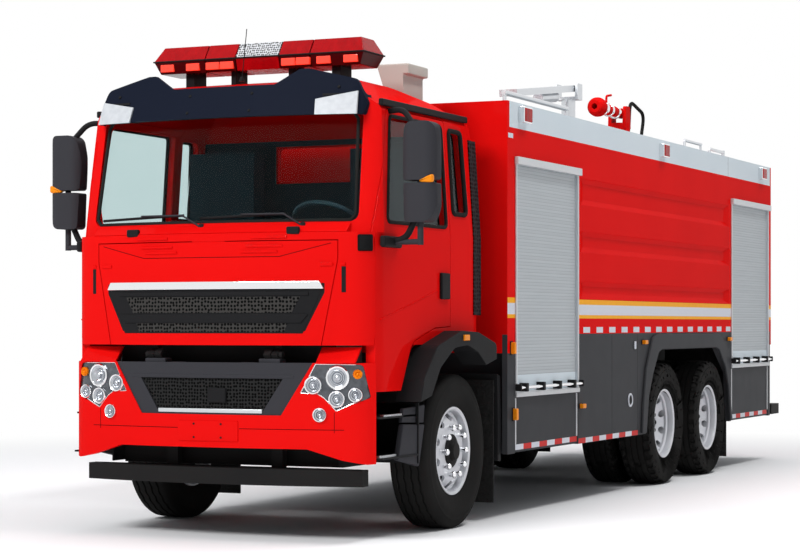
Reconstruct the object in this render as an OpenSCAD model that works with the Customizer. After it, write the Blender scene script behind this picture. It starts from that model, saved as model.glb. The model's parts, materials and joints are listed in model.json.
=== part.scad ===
// Fire truck on three axles: tilting cab, equipment body with roller shutters, water monitor on the roof.
// Lengths are millimetres. Places along the truck are counted from the front axle, rearwards positive,
// places across from the middle plane, heights from the road.

/* [Wheels] */
// Front axle to first rear axle
wheel_base = 4600; // [4450:10:4750]
// First rear axle to second rear axle
bogie_pitch = 1350; // [1330:10:1420]
// Tyre radius at the tread
tyre_r = 530; // [515:1:535]
// Tyre width at the sidewalls
tyre_w = 298; // [280:1:305]
// Radius of the rim where the tyre sits
rim_r = 288; // [270:1:300]
// Front wheel middle from the middle plane
front_half_track = 1020; // [1005:1:1030]
// Middle of a twin pair from the middle plane
twin_half_track = 915; // [900:1:920]
// Spacing of the two wheels of a twin pair
twin_pitch = 345; // [335:1:350]
// Kingpin axis from the middle plane
kingpin_x = 930; // [915:1:940]

/* [Chassis] */
// Outer face of a frame rail from the middle plane
rail_x = 430; // [410:5:445]
// Height of a frame rail
rail_h = 270; // [240:5:290]
// Flange width of a frame rail
rail_flange = 80; // [70:1:90]
// Sheet thickness of a frame rail
rail_t = 12; // [8:1:16]
// Top of the frame rails
rail_top = 1010; // [1000:1:1020]
// Engine block width
engine_w = 640; // [560:10:660]
// Engine block length
engine_l = 1150; // [1000:10:1200]
// Engine block height
engine_h = 640; // [560:10:650]

/* [Cab] */
// Foremost point of the cab and of the bumper
front_reach = 1400; // [1390:1:1420]
// Half width of the cab at the doors
cab_half_w = 1120; // [1100:1:1125]
// Rear wall of the cab behind the front axle
cab_rear = 450; // [430:1:460]
// Lower edge of the front panel
panel_low = 1262; // [1255:1:1275]
// Lower edge of the doors
door_low = 960; // [950:1:980]
// Underside of the cab floor
cab_floor = 1440; // [1430:1:1450]
// Lower edge of the windscreen
screen_low = 2055; // [2040:1:2070]
// Top of the windscreen and of the door windows
screen_top = 2775; // [2750:1:2790]
// Highest line of the cab roof
roof_z = 3045; // [3030:1:3055]
// Lean of the windscreen from upright, in degrees
screen_lean = 10; // [8:0.5:12]
// Thickness of the cab walls and doors
cab_wall = 55; // [45:1:60]
// Glass thickness
glass_t = 8; // [6:1:10]
// Door gap
door_gap = 6; // [5:0.5:7]

/* [Body] */
// Front wall of the body behind the front axle
body_front = 720; // [710:1:760]
// Length of the body
body_l = 7360; // [7300:10:7500]
// Half width of the body
body_half_w = 1250; // [1240:1:1270]
// Lower edge of the skirts
skirt_low = 468; // [450:1:490]
// Boundary of the grey skirts and the red side panels
band_z = 1323; // [1310:1:1335]
// Lower edge of the pale parapet
parapet_low = 2809; // [2790:1:2820]
// Top of the body
body_top = 2995; // [2980:1:3010]
// Wall thickness of the body
body_wall = 40; // [35:1:45]
// Top of the body floor
body_floor_z = 1230; // [1225:1:1240]
// Thickness of the body floor and roof deck
deck_t = 40; // [30:1:45]
// Top of the roof deck
deck_z = 2873; // [2860:1:2880]
// Length of the rear step behind the body
rear_step_l = 320; // [300:1:340]

/* [Shutters] */
// Front edge of the front shutter, behind the body's front wall
front_shutter_in = 149; // [140:1:160]
// Width of the front shutter with its frame
front_shutter_w = 1347; // [1300:1:1360]
// Rear edge of the rear shutter, ahead of the body's rear wall
rear_shutter_in = 113; // [105:1:130]
// Width of the rear shutter with its frame
rear_shutter_w = 1385; // [1350:1:1390]
// Top of the shutter frames
shutter_top = 2597; // [2580:1:2620]
// Lower edge of the front shutter
front_shutter_low = 880; // [870:1:900]
// Lower edge of the rear shutter
rear_shutter_low = 985; // [975:1:1000]
// Width of the frame bars
shutter_bar = 32; // [26:1:38]
// Height of one slat
slat_pitch = 48; // [40:1:60]

/* [Roof gear] */
// Half length of the warning light bar
bar_half_l = 800; // [760:1:820]
// Height of the warning light bar
bar_h = 190; // [170:1:200]
// Length of the lamp mast
mast_l = 1420; // [1300:10:1450]
// Rest angle of the lamp mast, in degrees
mast_tilt = 7; // [6:0.5:8]
// Distance of the lamp mast from the middle plane
mast_x = 600; // [560:5:640]
// Height of the monitor's barrel axis above the deck
monitor_h = 634; // [600:2:660]
// Length of the monitor's barrel
monitor_l = 760; // [700:5:800]
// Monitor axis behind the front axle
monitor_y = 6960; // [6900:5:7000]

/* [Hidden] */
$fn = 48;

// General clearances
overrun = 20;
seat_gap = 0.3;
arc_steps = 6;
bow_steps = 8;
half_turn = 180;

// Derived places
body_rear = body_front + body_l;
rear_reach = body_rear + rear_step_l;
mid_y = (rear_reach - front_reach) / 2;
body_in = body_half_w - body_wall;
axle_z = tyre_r;
axle_mid = wheel_base;
axle_rear = wheel_base + bogie_pitch;
front_shutter_y = body_front + front_shutter_in;
front_shutter_end = front_shutter_y + front_shutter_w;
rear_shutter_end = body_rear - rear_shutter_in;
rear_shutter_y = rear_shutter_end - rear_shutter_w;
cab_long = cab_rear + front_reach;

// Outline helpers: a corner is [across, up, round]
function unit(v) = v / norm(v);
function fillet(p, c, q, r, steps) = r <= 0 ? [c] :
  let (u = unit(p - c), w = unit(q - c), half = acos(u * w) / 2, centre = c + unit(u + w) * r / sin(half))
  let (a = c + u * r / tan(half) - centre, b = c + w * r / tan(half) - centre)
  let (from = atan2(a[1], a[0]),
    turn = (atan2(b[1], b[0]) - from + 3 * half_turn) % (2 * half_turn) - half_turn)
  [for (i = [0:steps]) centre + r * [cos(from + turn * i / steps), sin(from + turn * i / steps)]];
function flat(c) = [c[0], c[1]];
function outline(corners, steps = arc_steps) = let (n = len(corners)) [for (i = [0:n - 1])
  each fillet(flat(corners[(i + n - 1) % n]), flat(corners[i]), flat(corners[(i + 1) % n]),
    corners[i][2], steps)];
// Corners from shares [along, up, round] of a size that starts at a place; round follows the height
function spread(at, size, shares) = [for (s = shares)
  [at[0] + s[0] * size[0], at[1] + s[1] * size[1], s[2] * size[1]]];
function both_ways(half) = concat(half,
  [for (i = [len(half) - 1:-1:0]) [-half[i][0], half[i][1], half[i][2]]]);

module from_axle() translate([0, -mid_y, 0]) children();
module box(x0, x1, y0, y1, z0, z1) translate([x0, y0, z0]) cube([x1 - x0, y1 - y0, z1 - z0]);
// An outline of [along, up] drawn out across the truck
module side_prism(x0, x1) translate([x0, 0, 0]) rotate([90, 0, 90]) linear_extrude(x1 - x0) children();
// An outline of [across, up] drawn out along the truck
module front_prism(y0, y1) translate([0, y1, 0]) rotate([90, 0, 0]) linear_extrude(y1 - y0) children();
module plan_prism(z0, z1) translate([0, 0, z0]) linear_extrude(z1 - z0) children();
module rod_x(x0, x1, y, z, r) translate([x0, y, z]) rotate([0, 90, 0]) cylinder(h = x1 - x0, r = r);
module rod_y(x, y0, y1, z, r) translate([x, y1, z]) rotate([90, 0, 0]) cylinder(h = y1 - y0, r = r);
module rod_z(x, y, z0, z1, r) translate([x, y, z0]) cylinder(h = z1 - z0, r = r);
module both_sides() { children(); mirror([1, 0, 0]) children(); }

// Wheels
tyre_h = tyre_r - rim_r;
// Columns: radius as a share of the tyre height, across as a share of the tyre width
tyre_shares = [[0, 0.36], [0.07, 0.36], [0.11, 0.40], [0.30, 0.47], [0.52, 0.50], [0.72, 0.485],
  [0.90, 0.445], [0.97, 0.41], [1, 0.34]];
tyre_half = [for (s = tyre_shares) [rim_r + seat_gap + s[0] * (tyre_h - seat_gap), s[1] * tyre_w]];
tyre_points = concat(tyre_half, [for (i = [len(tyre_half) - 1:-1:0]) [tyre_half[i][0], -tyre_half[i][1]]]);
rim_sheet = 14;
rim_lip = 14;
rim_half_w = 0.36 * tyre_w;
rim_lip_w = 10;
disc_t = 16;
hub_r = 150;
hub_bore = 62;
hub_out_r = 90;
hub_play = 0.3;
hole_ring_r = 205;
hole_r = 28;
hole_count = 10;
nut_ring_r = 112;
nut_r = 15;
nut_l = 30;
front_dish = 0.30 * tyre_w;

module tyre(x) translate([x, 0, axle_z]) rotate([0, 90, 0]) rotate_extrude() polygon(tyre_points);

// Rim barrel with its two lips, the lips outside the tyre's beads
module rim_barrel(x) translate([x, 0, axle_z]) rotate([0, 90, 0]) rotate_extrude() polygon([
  [rim_r - rim_sheet, -rim_half_w - rim_lip_w], [rim_r + rim_lip, -rim_half_w - rim_lip_w],
  [rim_r + rim_lip, -rim_half_w - seat_gap], [rim_r, -rim_half_w - seat_gap],
  [rim_r, rim_half_w + seat_gap], [rim_r + rim_lip, rim_half_w + seat_gap],
  [rim_r + rim_lip, rim_half_w + rim_lip_w], [rim_r - rim_sheet, rim_half_w + rim_lip_w]]);

// Wheel disc, its middle pushed out by the dish
module wheel_disc(x, root, dish) difference() {
  translate([x, 0, axle_z]) rotate([0, 90, 0]) rotate_extrude() polygon([
    [hub_out_r - disc_t, dish], [hub_r, dish], [rim_r - rim_sheet / 2, root],
    [rim_r - rim_sheet / 2, root + disc_t], [hub_r, dish + disc_t], [hub_out_r - disc_t, dish + disc_t]]);
  translate([x, 0, axle_z]) for (i = [0:hole_count - 1]) rotate([360 / hole_count * i, 0, 0])
    rod_x(min(root, dish) - overrun, max(root, dish) + disc_t + overrun, 0, hole_ring_r, hole_r);
}

module nut_ring(x, reach) translate([x, 0, axle_z]) for (i = [0:hole_count - 1])
  rotate([360 / hole_count * (i + 0.5), 0, 0]) rod_x(0, reach, 0, nut_ring_r, nut_r);

module hub(x0, x1) difference() {
  rod_x(x0, x1, 0, axle_z, hub_out_r);
  rod_x(x0 - overrun, x1 - disc_t, 0, axle_z, hub_bore + hub_play);
}

front_disc_x = front_half_track + front_dish;

module front_tyre() color([0.06, 0.06, 0.06]) from_axle() tyre(front_half_track);
module front_rim() color([0.75, 0.76, 0.78]) from_axle() {
  rim_barrel(front_half_track);
  wheel_disc(front_half_track, front_dish - disc_t - nut_l, front_dish);
  nut_ring(front_disc_x, disc_t + nut_l);
  hub(kingpin_x + fork_back + fork_web + fork_gap, front_disc_x + disc_t + nut_l);
}
module tyre_front_left() front_tyre();
module tyre_front_right() mirror([1, 0, 0]) front_tyre();
module rim_front_left() front_rim();
module rim_front_right() mirror([1, 0, 0]) front_rim();

twin_in = twin_half_track - twin_pitch / 2;
twin_out = twin_half_track + twin_pitch / 2;
axle_tube_r = 75;
drum_gap = 8;

module twin_tyres(y) color([0.06, 0.06, 0.06]) from_axle() translate([0, y, 0]) {
  tyre(twin_in);
  tyre(twin_out);
}
module twin_rims(y) color([0.75, 0.76, 0.78]) from_axle() translate([0, y, 0]) {
  rim_barrel(twin_in);
  rim_barrel(twin_out);
  wheel_disc(twin_half_track, twin_pitch / 2 - front_dish, 0);
  mirror_at(twin_half_track) wheel_disc(twin_half_track, twin_pitch / 2 - front_dish, 0);
  nut_ring(twin_half_track, disc_t + nut_l);
  hub(twin_in, twin_out - front_dish);
}
module mirror_at(x) translate([x, 0, 0]) mirror([1, 0, 0]) translate([-x, 0, 0]) children();
module tyres_mid_left() twin_tyres(axle_mid);
module tyres_mid_right() mirror([1, 0, 0]) twin_tyres(axle_mid);
module rims_mid_left() twin_rims(axle_mid);
module rims_mid_right() mirror([1, 0, 0]) twin_rims(axle_mid);
module tyres_rear_left() twin_tyres(axle_rear);
module tyres_rear_right() mirror([1, 0, 0]) twin_tyres(axle_rear);
module rims_rear_left() twin_rims(axle_rear);
module rims_rear_right() mirror([1, 0, 0]) twin_rims(axle_rear);

// Steering knuckles: a fork round the axle's eye, the kingpin and the wheel spindle
eye_r = 58;
eye_h = 130;
pin_r = 24;
fork_t = 34;
fork_gap = 6;
spindle_r = hub_bore;
fork_web = 40;
fork_back = eye_r + fork_gap;

module knuckle() color([0.25, 0.25, 0.27]) from_axle() {
  for (up = [-1, 1]) translate([0, 0, axle_z + up * (eye_h / 2 + fork_gap + fork_t / 2) - fork_t / 2])
    box(kingpin_x - eye_r, kingpin_x + fork_back + fork_web, -eye_r, eye_r, 0, fork_t);
  box(kingpin_x + fork_back, kingpin_x + fork_back + fork_web, -eye_r, eye_r,
    axle_z - eye_h / 2 - fork_gap - fork_t, axle_z + eye_h / 2 + fork_gap + fork_t);
  rod_z(kingpin_x, 0, axle_z - eye_h / 2 - fork_gap - fork_t, axle_z + eye_h / 2 + fork_gap + fork_t,
    pin_r);
  rod_x(kingpin_x + fork_back + fork_web / 2, front_disc_x - door_gap, 0, axle_z, spindle_r);
}
module knuckle_left() knuckle();
module knuckle_right() mirror([1, 0, 0]) knuckle();

// Axles with their leaf springs
beam_h = 90;
beam_w = 110;
spring_half_l = 760;
spring_rise = 130;
spring_w = 80;
spring_t = 70;
spring_x = rail_x - rail_flange / 2;
hanger_l = 110;
diff_r = 190;
rail_low = rail_top - rail_h;
trunnion_y = axle_mid + bogie_pitch / 2;
axle_end_x = twin_half_track + twin_pitch / 2 - front_dish - disc_t - door_gap;

// A leaf pack from end to end, sagging in the middle onto its axle
module leaf_pack(y, half_l, z_end, z_mid) both_sides()
  side_prism(spring_x - spring_w / 2, spring_x + spring_w / 2)
  polygon(concat(
    [for (i = [-bow_steps:bow_steps])
      [y + half_l * i / bow_steps, z_mid + (z_end - z_mid) * pow(i / bow_steps, 2)]],
    [for (i = [bow_steps:-1:-bow_steps]) [y + half_l * i / bow_steps,
      z_mid + (z_end - z_mid) * pow(i / bow_steps, 2) + spring_t * (1.4 - abs(i) / bow_steps)]]));

module hanger(y, z0) both_sides()
  box(spring_x - spring_w / 2, spring_x + spring_w / 2, y - hanger_l / 2, y + hanger_l / 2, z0, rail_low);

module axles() color([0.13, 0.13, 0.14]) from_axle() {
  difference() {
    union() {
      box(-kingpin_x, kingpin_x, -beam_w / 2, beam_w / 2, axle_z - beam_h / 2, axle_z + beam_h / 2);
      both_sides() rod_z(kingpin_x, 0, axle_z - eye_h / 2, axle_z + eye_h / 2, eye_r);
      leaf_pack(0, spring_half_l, axle_z + spring_rise, axle_z + beam_h / 4);
      for (end = [-1, 1]) hanger(end * (spring_half_l - hanger_l / 2), axle_z + spring_rise - spring_t / 2);
    }
    both_sides() rod_z(kingpin_x, 0, axle_z - eye_h, axle_z + eye_h, pin_r + seat_gap);
  }
  for (y = [axle_mid, axle_rear]) translate([0, y, 0]) {
    rod_x(-axle_end_x, axle_end_x, 0, axle_z, hub_bore);
    both_sides() rod_x(0, twin_in - drum_gap * 2, 0, axle_z, axle_tube_r);
    rod_y(0, -diff_r, diff_r, axle_z, diff_r);
  }
  leaf_pack(trunnion_y, bogie_pitch / 2 + beam_w, axle_z + axle_tube_r / 2, axle_z + axle_tube_r / 2);
  hanger(trunnion_y, axle_z + axle_tube_r);
}

// Frame: two channel rails and their cross members, with the cab's pivot posts and rear rest
rail_front_set = 220;
rail_front = front_reach - rail_front_set;
cross_t = 60;
cross_h = rail_h * 0.6;
cross_shares = [0.02, 0.22, 0.40, 0.52, 0.68, 0.84, 0.99];
frame_l = body_rear - overrun + rail_front;
subframe_h = body_floor_z - deck_t - rail_top;
pivot_y_set = 85;
pivot_y = pivot_y_set - front_reach;
pivot_z = 1200;
pivot_r = 22;
pivot_boss = 42;
arm_t = 50;
arm_x = rail_x + arm_t;
rest_y = cab_rear - 3 * cab_wall;
rest_w = 90;

module chassis_frame() color([0.12, 0.12, 0.13]) from_axle() {
  both_sides() difference() {
    box(rail_x - rail_flange, rail_x, -rail_front, body_rear - overrun, rail_low, rail_top);
    box(rail_x - rail_flange - overrun, rail_x - rail_t, -rail_front - overrun, body_rear,
      rail_low + rail_t, rail_top - rail_t);
  }
  for (s = cross_shares) translate([0, s * (frame_l - cross_t) - rail_front, 0])
    box(-rail_x + rail_t / 2, rail_x - rail_t / 2, 0, cross_t,
      rail_low + (rail_h - cross_h) / 2, rail_low + (rail_h + cross_h) / 2);
  // Pivot posts reach forward and up from the rails to the tilt pins
  both_sides() side_prism(rail_x - arm_t, rail_x) polygon([
    [-rail_front + cross_t, rail_top], [-rail_front + cross_t, rail_low + rail_h / 2],
    [pivot_y + pivot_boss / 2, pivot_z - 2 * pivot_boss], [pivot_y, pivot_z - pivot_boss],
    [pivot_y - pivot_boss, pivot_z], [pivot_y, pivot_z + pivot_boss], [pivot_y + pivot_boss, pivot_z]]);
  both_sides() rod_x(rail_x - arm_t, arm_x + arm_t / 2, pivot_y, pivot_z, pivot_r);
  // Cross portal that the rear of the cab rests on
  both_sides() box(rail_x - rail_flange, rail_x, rest_y, rest_y + rest_w, rail_top, cab_floor);
  box(-rail_x, rail_x, rest_y, rest_y + rest_w, cab_floor - rest_w, cab_floor);
  // Subframe under the body
  both_sides() box(rail_x - rail_flange, rail_x, body_front + body_wall, body_rear - body_wall,
    rail_top, rail_top + subframe_h);
}

engine_y = rest_y - engine_l - overrun;
engine_foot = 80;
engine_foot_shares = [0.15, 0.8];
engine_low = rail_low + rail_t;
module engine_block() color([0.3, 0.31, 0.32]) from_axle() {
  box(-engine_w / 2, engine_w / 2, engine_y, engine_y + engine_l, engine_low, engine_low + engine_h);
  for (s = engine_foot_shares) translate([0, engine_y + s * engine_l, rail_low + rail_h / 2])
    box(rail_t - rail_x, rail_x - rail_t, 0, engine_foot, -engine_foot / 2, engine_foot / 2);
}

// Front end
bumper_end_low = 505;
bumper_top = 1150;
bumper_half_w = 1150;
bumper_t = 45;
bumper_rear_set = 200;
bumper_rear = front_reach - bumper_rear_set;
grille_top_half = 727;
grille_low_half = 516;
grille_low = 813;
front_sag = 105;
bow_half = 940;
bumper_round = 210;
bumper_back = bumper_round - bumper_rear;

// Plan outline of a bowed front with round corners, pulled back and in by the inset
function bow_plan(front, half, rear, round, inset) = let (bow_end = half - round)
  let (corner = [half - inset, front + inset + front_sag * pow((half - inset) / bow_half, 2), 0])
  let (bow = [for (i = [-bow_steps:bow_steps]) [bow_end * i / bow_steps,
    front + inset + front_sag * pow(bow_end * i / bow_steps / bow_half, 2)]])
  concat([[-half + inset, rear]],
    fillet([-half + inset, rear], [-corner[0], corner[1]], bow[0], round - inset, arc_steps),
    bow, fillet(bow[2 * bow_steps], flat(corner), [half - inset, rear], round - inset, arc_steps),
    [[half - inset, rear]]);

// Plan outline of a strip along the bow
function bow_strip(front, half, t) = let (line = [for (i = [-bow_steps:bow_steps])
  [half * i / bow_steps, front + front_sag * pow(half * i / bow_steps / bow_half, 2)]])
  concat(line, [for (i = [2 * bow_steps:-1:0]) line[i] + [0, t]]);

// Columns: across and up as shares of half the bumper's width and of its height, then round
bumper_shares = [[0.60, 0.147, 0], [0.80, 0.04, 0.1], [0.93, 0, 0.05], [1.05, 0.02, 0],
  [1.05, 0.9, 0], [0.95, 1, 0]];
lamp_shares = [[0.646, 0.99, 0], [0.91, 0.985, 0.04], [0.946, 0.659, 0.03], [0.764, 0.524, 0],
  [0.695, 0.651, 0.04],
  [0.66, 0.69, 0.04], [0.559, 0.70, 0]];
bumper_size = [bumper_half_w, bumper_top - bumper_end_low];
module bumper_front() polygon(outline(both_ways(spread([0, bumper_end_low], bumper_size, bumper_shares))));
module lamp_front() polygon(outline(spread([0, bumper_end_low], bumper_size, lamp_shares)));
module bow_shell(front, half, rear, round, t, z0, z1) difference() {
  plan_prism(z0, z1) polygon(bow_plan(front, half, rear, round, 0));
  plan_prism(z0 - overrun, z1 + overrun) polygon(bow_plan(front, half, rear + overrun, round, t));
}

flange_low_share = 0.646;
flange_high_share = 0.885;
flange_top = panel_low - 2 * door_gap;
flange_t = 20;
flange_run = 95;
flange_y = front_sag * 0.7 - front_reach;

module front_bumper() color([0.8, 0.05, 0.04]) from_axle() {
  difference() {
    intersection() {
      bow_shell(-front_reach, bumper_half_w, bumper_back, bumper_round, bumper_t, bumper_end_low - overrun,
        bumper_top + overrun);
      front_prism(-front_reach - overrun, -bumper_rear) bumper_front();
    }
    both_sides() front_prism(-front_reach - overrun, -bumper_rear + overrun) lamp_front();
    front_prism(-front_reach - overrun, -bumper_rear + overrun) polygon([[-grille_low_half, grille_low],
      [grille_low_half, grille_low], [grille_top_half, bumper_top], [grille_top_half, bumper_top + overrun],
      [-grille_top_half, bumper_top + overrun], [-grille_top_half, bumper_top]]);
  }
  // Sloped cheeks that close the gap between the lamps and the cab
  both_sides() side_prism(flange_low_share * bumper_half_w, flange_high_share * bumper_half_w) polygon([
    [flange_y, bumper_top], [flange_y + flange_run, flange_top],
    [flange_y + flange_run + flange_t, flange_top], [flange_y + flange_t, bumper_top]]);
  // Brackets from the frame's ends
  both_sides() box(rail_x + arm_t + arm_t, rail_x + 3 * arm_t, -front_reach + bumper_t,
    -rail_front + cross_t,
    rail_low, rail_low + cross_t);
  both_sides() box(rail_x, rail_x + 3 * arm_t, -rail_front, -rail_front + cross_t, rail_low,
    rail_low + cross_t);
}

module headlamps() color([0.8, 0.82, 0.85]) from_axle() both_sides() intersection() {
  bow_shell(-front_reach + glass_t, bumper_half_w - glass_t, bumper_back, bumper_round, bumper_t,
    bumper_end_low, bumper_top);
  front_prism(-front_reach - overrun, -bumper_rear) lamp_front();
}

grille_bar = 100;
grille_mesh_t = 12;
grille_slats = 5;
module lower_grille() color([0.14, 0.14, 0.16]) from_axle() {
  intersection() {
    bow_shell(-front_reach + glass_t, bumper_half_w, bumper_back, bumper_round, bumper_t,
      bumper_end_low, bumper_top + overrun);
    front_prism(-front_reach - overrun, -bumper_rear) difference() {
      polygon([[-grille_low_half, grille_low], [grille_low_half, grille_low], [grille_top_half, bumper_top],
        [-grille_top_half, bumper_top]]);
      polygon([[-grille_low_half + grille_bar * 1.3, grille_low + overrun],
        [grille_low_half - grille_bar * 1.3, grille_low + overrun],
        [grille_top_half - grille_bar * 2, bumper_top - grille_bar],
        [-grille_top_half + grille_bar * 2, bumper_top - grille_bar]]);
    }
  }
  // Slats behind the opening
  for (i = [1:grille_slats])
    translate([0, 0, grille_low + (bumper_top - grille_bar - grille_low) * i / (grille_slats + 1)])
    plan_prism(-grille_mesh_t / 2, grille_mesh_t / 2) polygon(bow_strip(-front_reach + bumper_t / 2,
      grille_low_half - grille_bar + (grille_top_half - grille_low_half) * i / (grille_slats + 1),
        bumper_t / 4));
}

underrun_half = 1020;
underrun_low = 359;
underrun_high = 466;
underrun_t = 90;
underrun_bow = 130;
underrun_y_set = 185;
underrun_y = underrun_y_set - front_reach;
module underrun_bar() color([0.1, 0.1, 0.11]) from_axle() {
  plan_prism(underrun_low, underrun_high) polygon(concat(
    [for (i = [-bow_steps:bow_steps]) [underrun_half * i / bow_steps,
      underrun_y - underrun_bow * (1 - pow(i / bow_steps, 2))]],
    [[underrun_half, underrun_y + underrun_t], [-underrun_half, underrun_y + underrun_t]]));
  both_sides() box(rail_x - rail_flange, rail_x, -rail_front, -rail_front + cross_t, underrun_high,
    rail_low);
  both_sides() box(rail_x - rail_flange, rail_x, underrun_y, -rail_front + cross_t, underrun_low,
    underrun_high);
}

// Cab steps under the doors
step_front_set = 210;
step_front = step_front_set - front_reach;
step_rear = -615;
step_in = 840;
step_out = 1150;
step_low = 480;
step_tread_low = 545;
step_tread_high = 805;
step_sheet = 12;
module cab_steps() color([0.11, 0.11, 0.12]) from_axle() {
  both_sides() {
    box(step_in, step_in + step_sheet, step_front, step_rear, step_low, door_low - 2 * door_gap);
    box(step_in, step_out, step_rear - step_sheet, step_rear, step_low, flare_low - 2 * door_gap);
    box(step_in, step_out, step_front, step_rear, step_tread_low - step_sheet, step_tread_low);
    box(step_in, step_out - overrun, step_front, step_rear, step_tread_high - step_sheet, step_tread_high);
    // Carrier arm from the frame
    box(rail_x, step_in + step_sheet, step_front + 2 * cross_t, step_front + 3 * cross_t, rail_low,
      rail_low + cross_t);
  }
}

// Mud flaps and guards behind the wheels
flap_w = 320;
flap_set = 70;
flap_x1 = body_half_w - flap_set;
flap_x0 = flap_x1 - flap_w;
flap_y = 620;
flap_t = 14;
flap_low = 130;
flap_top = 1000;
rear_flap_gap = 90;
rear_flap_y = axle_rear + tyre_r + rear_flap_gap;
module mud_flaps() color([0.08, 0.08, 0.08]) from_axle() both_sides() {
  box(flap_x0, flap_x1, flap_y, flap_y + flap_t, flap_low, flap_top);
  box(rail_x, flap_x1, flap_y + flap_t, flap_y + flap_t + rest_w / 2, flap_top - rest_w,
    flap_top - rest_w / 2);
  box(twin_in - tyre_w / 2, body_in - door_gap, rear_flap_y, rear_flap_y + flap_t, flap_low,
    body_floor_z - deck_t);
}

// Body
module body_floor() color([0.35, 0.36, 0.37]) from_axle()
  box(-body_in, body_in, body_front + body_wall, body_rear - body_wall, body_floor_z - deck_t,
    body_floor_z);

tank_y0 = front_shutter_end + shutter_bar;
tank_y1 = rear_shutter_y - shutter_bar;
module water_tank() color([0.6, 0.6, 0.6]) from_axle()
  box(-body_in, body_in, tank_y0, tank_y1, body_floor_z, deck_z - deck_t);

module end_walls() color([0.8, 0.04, 0.03]) from_axle() {
  box(-body_half_w, body_half_w, body_front, body_front + body_wall, band_z, body_top);
  box(-body_in, body_in, body_front, body_front + body_wall, body_floor_z - deck_t, band_z);
  box(-body_half_w, body_half_w, body_rear - body_wall, body_rear, body_floor_z - deck_t, body_top);
}

module roof_deck() color([0.6, 0.61, 0.62]) from_axle()
  box(-body_in, body_in, body_front + body_wall, body_rear - body_wall, deck_z - deck_t, deck_z);

module parapets() color([0.78, 0.82, 0.85]) from_axle() both_sides()
  box(body_in, body_half_w, body_front + body_wall, body_rear - body_wall, parapet_low, body_top);

// Columns: lower edge and upper edge of a recess as shares of the panel's height
recess_shares = [[0.19, 0.27], [0.433, 0.533], [0.682, 0.810]];
recess_in = 28;
recess_slope = 14;
recess_end = 60;
panel_h = parapet_low - band_z;
module side_panels() color([0.82, 0.04, 0.03]) from_axle() both_sides() {
  difference() {
    box(body_in, body_half_w, front_shutter_end, rear_shutter_y, band_z, parapet_low);
    for (s = recess_shares) front_prism(front_shutter_end + recess_end, rear_shutter_y - recess_end) polygon([
      [body_half_w + overrun, band_z + s[0] * panel_h - recess_slope],
      [body_half_w + overrun, band_z + s[1] * panel_h + recess_slope],
      [body_half_w - recess_in, band_z + s[1] * panel_h],
      [body_half_w - recess_in, band_z + s[0] * panel_h]]);
  }
  box(body_in, body_half_w, body_front + body_wall, front_shutter_y, band_z, parapet_low);
  box(body_in, body_half_w, rear_shutter_end, body_rear - body_wall, band_z, parapet_low);
  box(body_in, body_half_w, front_shutter_y, front_shutter_end, shutter_top, parapet_low);
  box(body_in, body_half_w, rear_shutter_y, rear_shutter_end, shutter_top, parapet_low);
}

// Skirts, with the low lockers behind the folding steps
locker_in = 640;
locker_sheet = 6;
arch_front = 3767;
arch_rear = 6582;
skirt_seam = 3036;
// Folding steps: sheet, the rod they turn on along their lower edge
flap_sheet = 28;
flap_x = body_half_w - body_wall / 2;
flap_rod_r = 7;
flap_rod_z = skirt_low + door_gap + flap_sheet / 2;
module locker(y0, y1, top) {
  box(locker_in, body_in, y0, y1, skirt_low, skirt_low + locker_sheet);
  box(locker_in, locker_in + locker_sheet, y0, y1, skirt_low, body_floor_z - deck_t);
  box(locker_in, body_in, y0, y0 + locker_sheet, skirt_low, top);
  box(locker_in, body_in, y1 - locker_sheet, y1, skirt_low, top);
}
module skirts() color([0.27, 0.28, 0.3]) from_axle() both_sides() {
  box(body_in, body_half_w, front_shutter_end, skirt_seam - door_gap / 2, skirt_low, band_z);
  box(body_in, body_half_w, skirt_seam + door_gap / 2, arch_front, skirt_low, band_z);
  box(body_in, body_half_w, body_front, front_shutter_y, skirt_low, band_z);
  box(body_in, body_half_w, rear_shutter_end, body_rear - body_wall, skirt_low, band_z);
  rod_y(flap_x, front_shutter_y - overrun, front_shutter_end + overrun, flap_rod_z, flap_rod_r);
  rod_y(flap_x, rear_shutter_y, rear_shutter_end + overrun, flap_rod_z, flap_rod_r);
  locker(front_shutter_y, front_shutter_end, body_floor_z - deck_t);
  locker(rear_shutter_y + overrun, rear_shutter_end, body_floor_z - deck_t);
}

// Rear wheel arch mouldings and the liners over the wheels
arch_size = [arch_rear - arch_front, band_z - skirt_low];
arch_in_shares = [[0.05, -0.1, 0], [0.085, 0.55, 0.10], [0.18, 0.83, 0.12], [0.82, 0.83, 0.12],
  [0.95, 0.55, 0.10],
  [0.985, -0.1, 0]];
liner_t = 10;
module wheel_arches() color([0.13, 0.13, 0.14]) from_axle() both_sides() {
  side_prism(body_in, body_half_w) difference() {
    polygon([[arch_front, skirt_low], [arch_front, band_z], [arch_rear, band_z], [arch_rear, skirt_low]]);
    polygon(outline(spread([arch_front, skirt_low], arch_size, arch_in_shares)));
  }
  box(rail_x, body_in, arch_front + arch_size[0] * 0.1, arch_rear - arch_size[0] * 0.1,
    body_floor_z - deck_t - liner_t, body_floor_z - deck_t);
}

// Roller shutters in their frames, on both sides
shutter_in = 12;
module shutter_frame(y0, y1, low) difference() {
  box(body_in, body_half_w + shutter_in / 2, y0, y1, low, shutter_top);
  box(body_in - overrun, body_half_w + overrun, y0 + shutter_bar, y1 - shutter_bar, low + shutter_bar,
    shutter_top - shutter_bar * 1.5);
}
module shutter_frames() color([0.72, 0.74, 0.76]) from_axle() both_sides() {
  shutter_frame(front_shutter_y, front_shutter_end, front_shutter_low);
  shutter_frame(rear_shutter_y, rear_shutter_end, rear_shutter_low);
}

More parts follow.
